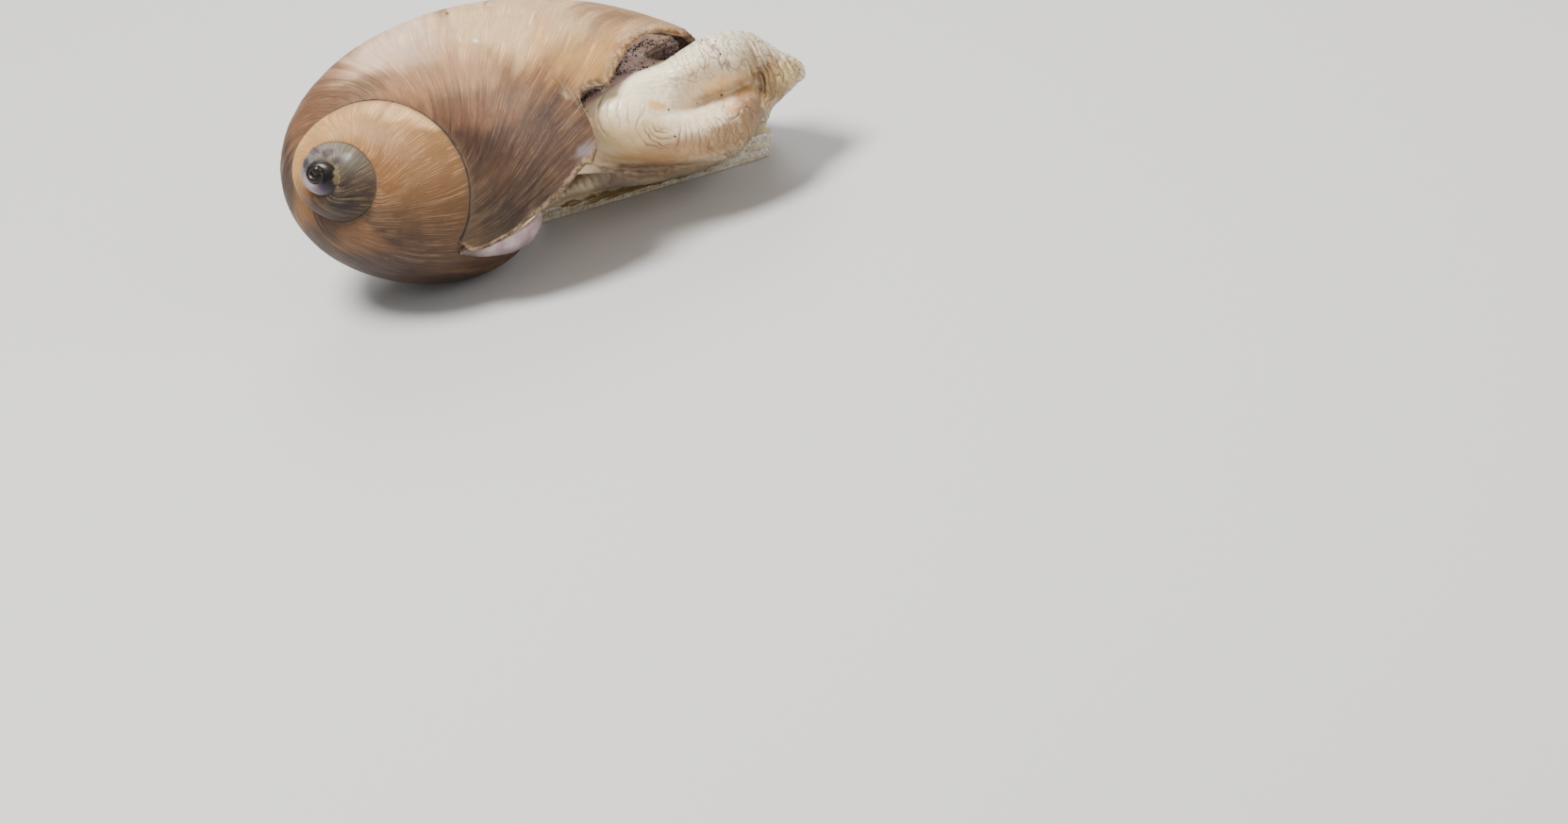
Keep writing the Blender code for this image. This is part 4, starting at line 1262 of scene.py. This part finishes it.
# The dark brown patches low on the penultimate whorl are partly painted shade.
SPIRE_PATCHES_WITH_PAINTED_SHADE = [(352, 164, 8, 5, 20, (56, 42, 66), 0.9), (338, 162, 6, 4, 0, (80, 66, 90), 0.8),
                 (328, 176, 4, 8, 0, (70, 58, 74), 0.8), (361, 172, 5, 4, 40, (60, 54, 74), 0.7),
                 (361, 190, 4, 12, 0, (180, 166, 124), 0.5), (372, 168, 6, 5, 0, (158, 156, 158), 0.6),
                 (430, 285, 60, 14, -4, (74, 52, 42), 0.85), (420, 262, 66, 26, -10, (92, 66, 50), 0.7),
                 (440, 124, 50, 12, -8, (210, 182, 146), 0.85), (416, 188, 16, 26, 0, (150, 110, 66), 0.5),
                 (330, 228, 10, 22, -20, (96, 68, 50), 0.6), (385, 248, 34, 20, 0, (104, 78, 56), 0.6)]
SHELL_DEPTH = 1.48
SHELL_LIFT = 0.92


def shell_ground(points, turn, streaks):
    """Base colours of the shell: by turn on the spire, by place on the body whorl, with painted sheen at the
    top of the body whorl and painted shade low down.
    """
    front = to_front(points)
    turns = np.array([row[0] for row in TURN_COLOURS])
    tones = np.array([rgb(*row[1]) for row in TURN_COLOURS])
    spire = np.stack([np.interp(turn, turns, tones[:, k]) for k in range(3)], -1)
    spire = ground_colours(points, spire, SPIRE_PATCHES_WITH_PAINTED_SHADE, streaks)
    body = ground_colours(points, rgb(*BODY_BASE), BODY_PATCHES_WITH_PAINTED_SHEEN_AND_SHADE, streaks)
    body = np.where((front[:, 2] < -30)[:, None], body * 0.92, body)
    on_body = smoothstep(-0.96, -0.93, turn)[:, None]
    return spire + (body - spire) * on_body


def deepened(colours):
    """Pigment for a wanted colour, as the surface also reflects white light."""
    return SHELL_LIFT * colours ** SHELL_DEPTH


def shell_material():
    graph = Graph("moon_shell")
    growth, across = graph.attribute("growth"), graph.attribute("across")
    place = graph.place()
    growth = graph.total(growth, (graph.noise(graph.stretched(growth, across, 0.08, 0.10), 1.0, 2.0), 3.0))
    hairs = graph.noise(graph.stretched(growth, across, 4.6, 0.10), 1.0, 3.0, 0.65)
    fine = graph.noise(graph.stretched(growth, across, 7.0, 0.35, 3.0), 1.0, 3.0, 0.6)
    bands = graph.noise(graph.stretched(growth, across, 0.35, 0.035, 7.0), 1.0, 3.0, 0.55)
    broken = graph.noise(graph.stretched(growth, across, 0.25, 0.30, 11.0), 1.0, 3.0, 0.6)
    spiral = graph.noise(graph.stretched(growth, across, 0.05, 2.6, 13.0), 1.0, 2.0)
    blotch = graph.noise(place, 190.0, 4.0, 0.6)
    grain = graph.noise(place, 1700.0, 2.0, 0.6)
    tone = graph.total(0.52, (bands, 0.46), (fine, 0.26), (blotch, 0.26), (spiral, 0.10))
    colour = graph.shaded(graph.attribute("ground", colour=True), tone)
    warm = graph.between(graph.noise(place, 60.0, 3.0), 0.4, 0.65)
    colour = graph.tinted(colour, warm, 0.15, (0.17, 0.095, 0.045))
    streak = graph.times(graph.between(hairs, 0.50, 0.66), graph.between(broken, 0.34, 0.60))
    streak = graph.times(streak, graph.attribute("streaky"))
    bright = graph.mix(1.0, colour, (2.1, 1.9, 1.65), "MULTIPLY")
    colour = graph.tinted(colour, streak, 0.85, bright)
    colour = graph.tinted(colour, streak, 0.20, (0.50, 0.38, 0.22))
    colour = graph.tinted(colour, graph.between(fine, 0.46, 0.34), 0.30, (0.075, 0.048, 0.030))
    specks = graph.between(graph.cells(place, 520.0), 0.16, 0.08)
    speckled = graph.between(graph.noise(place, 90.0, 2.0), 0.56, 0.66)
    colour = graph.tinted(colour, graph.times(specks, speckled), 0.12, (0.62, 0.56, 0.42))
    seam = graph.total(graph.attribute("seam"), (graph.less(blotch, 0.5), 0.30))
    colour = graph.tinted(colour, graph.between(seam, 1.4, 0.15), 0.45, (0.10, 0.066, 0.040))
    colour = graph.tinted(colour, graph.between(seam, 0.26, 0.10), 0.92, (0.022, 0.016, 0.012))
    inner, lip, gloss = graph.attribute("inner"), graph.attribute("lip"), graph.attribute("gloss")
    nacre = graph.mix(graph.noise(place, 160.0, 3.0), (0.34, 0.26, 0.24), (0.52, 0.44, 0.42))
    colour = graph.mix(inner, colour, nacre)
    flaky = graph.noise(place, 700.0, 4.0, 0.7)
    lip_tone = graph.mix(graph.between(flaky, 0.42, 0.60), (0.10, 0.058, 0.028), (0.36, 0.26, 0.15))
    colour = graph.tinted(colour, lip, 0.62, lip_tone)
    rough = graph.total(0.40, (fine, 0.22), (lip, 0.25))
    rough = graph.times(rough, graph.less(1.0, graph.times(gloss, 0.42)))
    height = graph.total(graph.times(fine, 0.55), (hairs, 0.45), (bands, 0.7), (grain, 0.10))
    height = graph.times(height, graph.less(1.0, graph.most(inner, gloss)))
    normal = graph.bump(height, 0.00016, 0.8)
    normal = graph.bump(graph.times(flaky, lip), 0.0005, 1.0, normal)
    return graph.finish(colour, rough, normal, Specular_IOR_Level=0.30)


def dress_shell(shell):
    points, turn, angle, inner = shell_attributes(shell)
    streaks = stacked(growth_place(turn, angle) * 0.55, angle * whorl_scale(turn) / MM * 0.07)
    ground = shell_ground(points, turn, streaks)
    lip_colours = ground_colours(points, ground, LIP_PATCHES)
    to_lip = (lip_turn(angle) - turn) * SPAN / MM
    ragged = 0.5 * noise(to_front(points) * 1.3, 41)
    streaky = smoothstep(-2.7, -1.9, turn) * ~inner * (1.6 - 0.6 * smoothstep(-1.0, -0.9, turn))
    put_attributes(shell, ground=deepened(np.where((turn > -0.75)[:, None], lip_colours, ground)),
                   lip=smoothstep(1.5, 0.2, np.abs(to_lip) + ragged) * (turn > -0.75), streaky=streaky,
                   gloss=smoothstep(-2.55, -3.0, turn) * 0.9)
    shell.data.materials.clear()
    shell.data.materials.append(shell_material())


def flesh_material():
    graph = Graph("soft_body")
    place = graph.place()
    around, along, upright = graph.attribute("around"), graph.attribute("along"), graph.attribute("upright")
    soft = graph.noise(place, 130.0, 3.0, 0.55)
    fine = graph.noise(place, 900.0, 3.0, 0.6)
    unsteady = graph.less(graph.noise(place, 260.0, 2.0), 0.5)
    rings = graph.vector(graph.total(around, (unsteady, 2.2)), graph.times(along, 0.10))
    levels = graph.vector(graph.times(upright, 0.08), graph.total(along, (unsteady, 2.2)), 4.0)
    net_across = graph.total(graph.times(upright, 0.62), (unsteady, 2.2))
    net_place = graph.vector(net_across, graph.times(along, 0.25), 9.0)
    net = graph.between(graph.cells(net_place, 1.0, "DISTANCE_TO_EDGE"), 0.060, 0.0)
    net_fine = graph.between(graph.cells(net_place, 2.6, "DISTANCE_TO_EDGE"), 0.09, 0.0)
    tone = graph.total(0.86, (soft, 0.22), (fine, 0.05))
    colour = graph.shaded(graph.attribute("ground", colour=True), tone)
    colour = graph.tinted(colour, graph.between(soft, 0.5, 0.7), 0.20, (0.72, 0.54, 0.33))
    ring_lines = graph.contour(graph.noise(rings, 1.15, 2.0, 0.5), 0.035)
    level_lines = graph.contour(graph.noise(levels, 1.4, 2.0, 0.5), 0.035)
    lines = graph.times(graph.most(ring_lines, level_lines), 0.16)
    net_lines = graph.times(graph.most(net, graph.times(net_fine, 0.6)), graph.attribute("veined"))
    lines = graph.most(graph.most(lines, graph.times(net_lines, 0.9)), graph.attribute("crease"))
    uneven = graph.total(0.55, (graph.noise(place, 420.0, 2.0), 0.8))
    # The brown follows the pattern lines and the net of veins, and also the creases, where it is painted
    # shade.
    line_and_crease_shade_brown = (0.15, 0.078, 0.036)
    colour = graph.mix(graph.math("MULTIPLY", lines, uneven, clamp=True), colour, line_and_crease_shade_brown)
    mauve = graph.mix(graph.noise(place, 240.0, 3.0), (0.42, 0.29, 0.27), (0.62, 0.48, 0.44))
    dirty = graph.between(graph.noise(place, 700.0, 4.0, 0.7), 0.50, 0.62)
    mauve = graph.tinted(mauve, dirty, 0.35, (0.10, 0.08, 0.065))
    colour = graph.mix(graph.attribute("mantle"), colour, mauve)
    height = graph.total(graph.less(graph.times(soft, 1.2), lines), (fine, 0.16))
    normal = graph.bump(height, 0.00022, 0.8)
    return graph.finish(colour, graph.total(0.30, (fine, 0.22)), normal, Subsurface_Weight=0.22,
                        Subsurface_Scale=0.0022, Subsurface_Radius=(1.0, 0.45, 0.25), Coat_Weight=0.25,
                        Coat_Roughness=0.22)


def lid_material():
    graph = Graph("operculum")
    place = graph.place()
    x, height, share = graph.attribute("long_way"), graph.attribute("height"), graph.attribute("share")
    broken_bit = graph.attribute("broken_bit")
    layers = graph.noise(graph.stretched(x, height, 0.35, 4.0), 1.0, 4.0, 0.65)
    rib_place = graph.vector(graph.less(graph.times(x, 2.2), height), graph.times(height, 0.4))
    ribs = graph.noise(rib_place, 1.6, 2.0, 0.6)
    mottled = graph.noise(place, 420.0, 4.0, 0.65)
    colour = graph.mix(graph.between(layers, 0.34, 0.54), (0.44, 0.33, 0.20), (0.82, 0.75, 0.60))
    colour = graph.tinted(colour, graph.between(mottled, 0.50, 0.64), 0.65, (0.80, 0.77, 0.74))
    yellow = graph.between(graph.noise(place, 150.0, 2.0), 0.52, 0.66)
    colour = graph.tinted(colour, yellow, 0.3, (0.62, 0.50, 0.25))
    colour = graph.tinted(colour, broken_bit, 0.8, (0.50, 0.46, 0.24))
    white_end = graph.times(graph.between(x, 10.0, 19.0), graph.between(height, 0.3, 1.2))
    white_end = graph.times(white_end, graph.less(1.0, broken_bit))
    colour = graph.tinted(colour, white_end, 0.7, (0.80, 0.77, 0.71))
    colour = graph.tinted(colour, graph.between(ribs, 0.52, 0.42), 0.5, (0.34, 0.25, 0.13))
    rings = graph.noise(graph.vector(graph.times(share, 26.0), 0.0), 1.0, 3.0, 0.6)
    plate = graph.mix(graph.between(rings, 0.35, 0.65), (0.20, 0.115, 0.045), (0.42, 0.29, 0.13))
    colour = graph.mix(graph.between(share, 0.98, 0.90), colour, plate)
    relief = graph.bump(graph.total(graph.times(layers, 0.8), (ribs, 0.5), (mottled, 0.5)), 0.0003, 0.9)
    return graph.finish(colour, graph.total(0.30, (mottled, 0.30)), relief, Subsurface_Weight=0.10,
                        Subsurface_Scale=0.001, Subsurface_Radius=(1.0, 0.7, 0.4))


def callus_material():
    graph = Graph("callus")
    place = graph.place()
    cloud = graph.noise(place, 190.0, 3.0, 0.55)
    colour = graph.mix(graph.between(cloud, 0.35, 0.70), (0.30, 0.21, 0.22), (0.54, 0.43, 0.44))
    # The first end of the pad is darkened: painted shade.
    colour = graph.mix(graph.between(graph.attribute("along"), 0.16, 0.04), colour, (0.07, 0.045, 0.035))
    normal = graph.bump(graph.noise(place, 300.0, 3.0), 0.00012, 0.5)
    return graph.finish(colour, 0.16, normal, Coat_Weight=0.5, Coat_Roughness=0.08, Subsurface_Weight=0.12,
                        Subsurface_Scale=0.001, Subsurface_Radius=(1.0, 0.6, 0.5))


def grain_material():
    graph = Graph("sand")
    tint = graph.noise(graph.place(), 900.0, 2.0)
    colour = graph.mix(tint, (1.0, 0.86, 0.66), (0.72, 0.82, 1.0))
    return graph.finish(graph.shaded(colour, graph.attribute("tone")), 0.35)


def settle(piece):
    """Flattens whatever reaches below the floor."""
    points = mesh_points(piece)
    points[:, 2] = np.maximum(points[:, 2], 0.00001)
    move_points(piece, points)


def make_camera():
    """Looks along the front frame, so that the apex and the scale fall on the photograph's."""
    camera = bpy.data.cameras.new("camera")
    camera.lens = LENS
    camera.sensor_width = SENSOR
    camera.clip_end = 20
    distance = LENS / SENSOR * FRAME_SIZE[0] / PIXELS_PER_MM
    right = (FRAME_SIZE[0] / 2 - APEX_PIXEL[0]) / PIXELS_PER_MM
    up = (APEX_PIXEL[1] - FRAME_SIZE[1] / 2) / PIXELS_PER_MM
    item = linked("camera", camera)
    item.matrix_world = POSE @ Matrix.Translation((right * MM, up * MM, (distance + FOCUS_DEPTH) * MM))
    bpy.context.scene.camera = item


# Disk lights: name, place, size in m, power in W and colour
LIGHTS = [("key", (-0.24, -0.12, 0.80), 0.36, 18.0, (1.0, 0.97, 0.93)),
          ("fill", (0.60, -0.60, 0.40), 0.60, 4.5, (1.0, 0.97, 0.94)),
          ("back", (0.10, 0.70, 0.60), 0.50, 4.0, (1.0, 1.0, 1.0))]
LIGHT_TARGET = (0, 0, 0.02)
FLOOR_COLOUR = (0.46, 0.46, 0.46)
SKY_COLOUR = (1.0, 0.98, 0.96, 1.0)
SKY_STRENGTH = 0.55


def make_light(name, place, size, power, colour):
    light = bpy.data.lights.new(name, "AREA")
    light.shape = "DISK"
    light.size = size
    light.energy = power
    light.color = colour
    item = linked(name, light)
    item.location = place
    item.rotation_euler = (Vector(LIGHT_TARGET) - Vector(place)).to_track_quat("-Z", "Y").to_euler()


def make_stage():
    bpy.ops.mesh.primitive_plane_add(size=6, location=(0, 0, -0.0001))
    floor = bpy.context.object
    floor.name = "floor"
    graph = Graph("floor")
    floor.data.materials.append(graph.finish(FLOOR_COLOUR, 0.7))
    for light in LIGHTS:
        make_light(*light)
    world = bpy.data.worlds.new("world")
    bpy.context.scene.world = world
    world.use_nodes = True
    background = world.node_tree.nodes["Background"]
    background.inputs["Color"].default_value = SKY_COLOUR
    background.inputs["Strength"].default_value = SKY_STRENGTH


def main():
    shell = make_shell()
    settle(shell)
    dress_shell(shell)
    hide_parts("shell_body_whorl", "shell_spire")
    flesh = make_flesh()
    flesh.data.materials.append(flesh_material())
    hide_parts("mantle_edge", "foot_column", "foot_mesopodium", "foot_propodium", "foot_metapodium",
                "foot_sole_folds", "foot_opercular_lobe")
    callus = make_callus()
    callus.data.materials.append(callus_material())
    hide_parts("shell_callus")
    lid = make_lid()
    lid.data.materials.append(lid_material())
    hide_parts("operculum")
    grains = make_grains(flesh)
    grains.data.materials.append(grain_material())
    for piece, slot in ((shell, "shell"), (flesh, "foot"), (callus, "callus"), (lid, "operculum"),
                        (grains, "mantle")):
        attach(piece, "root")
    make_camera()
    make_stage()


main()
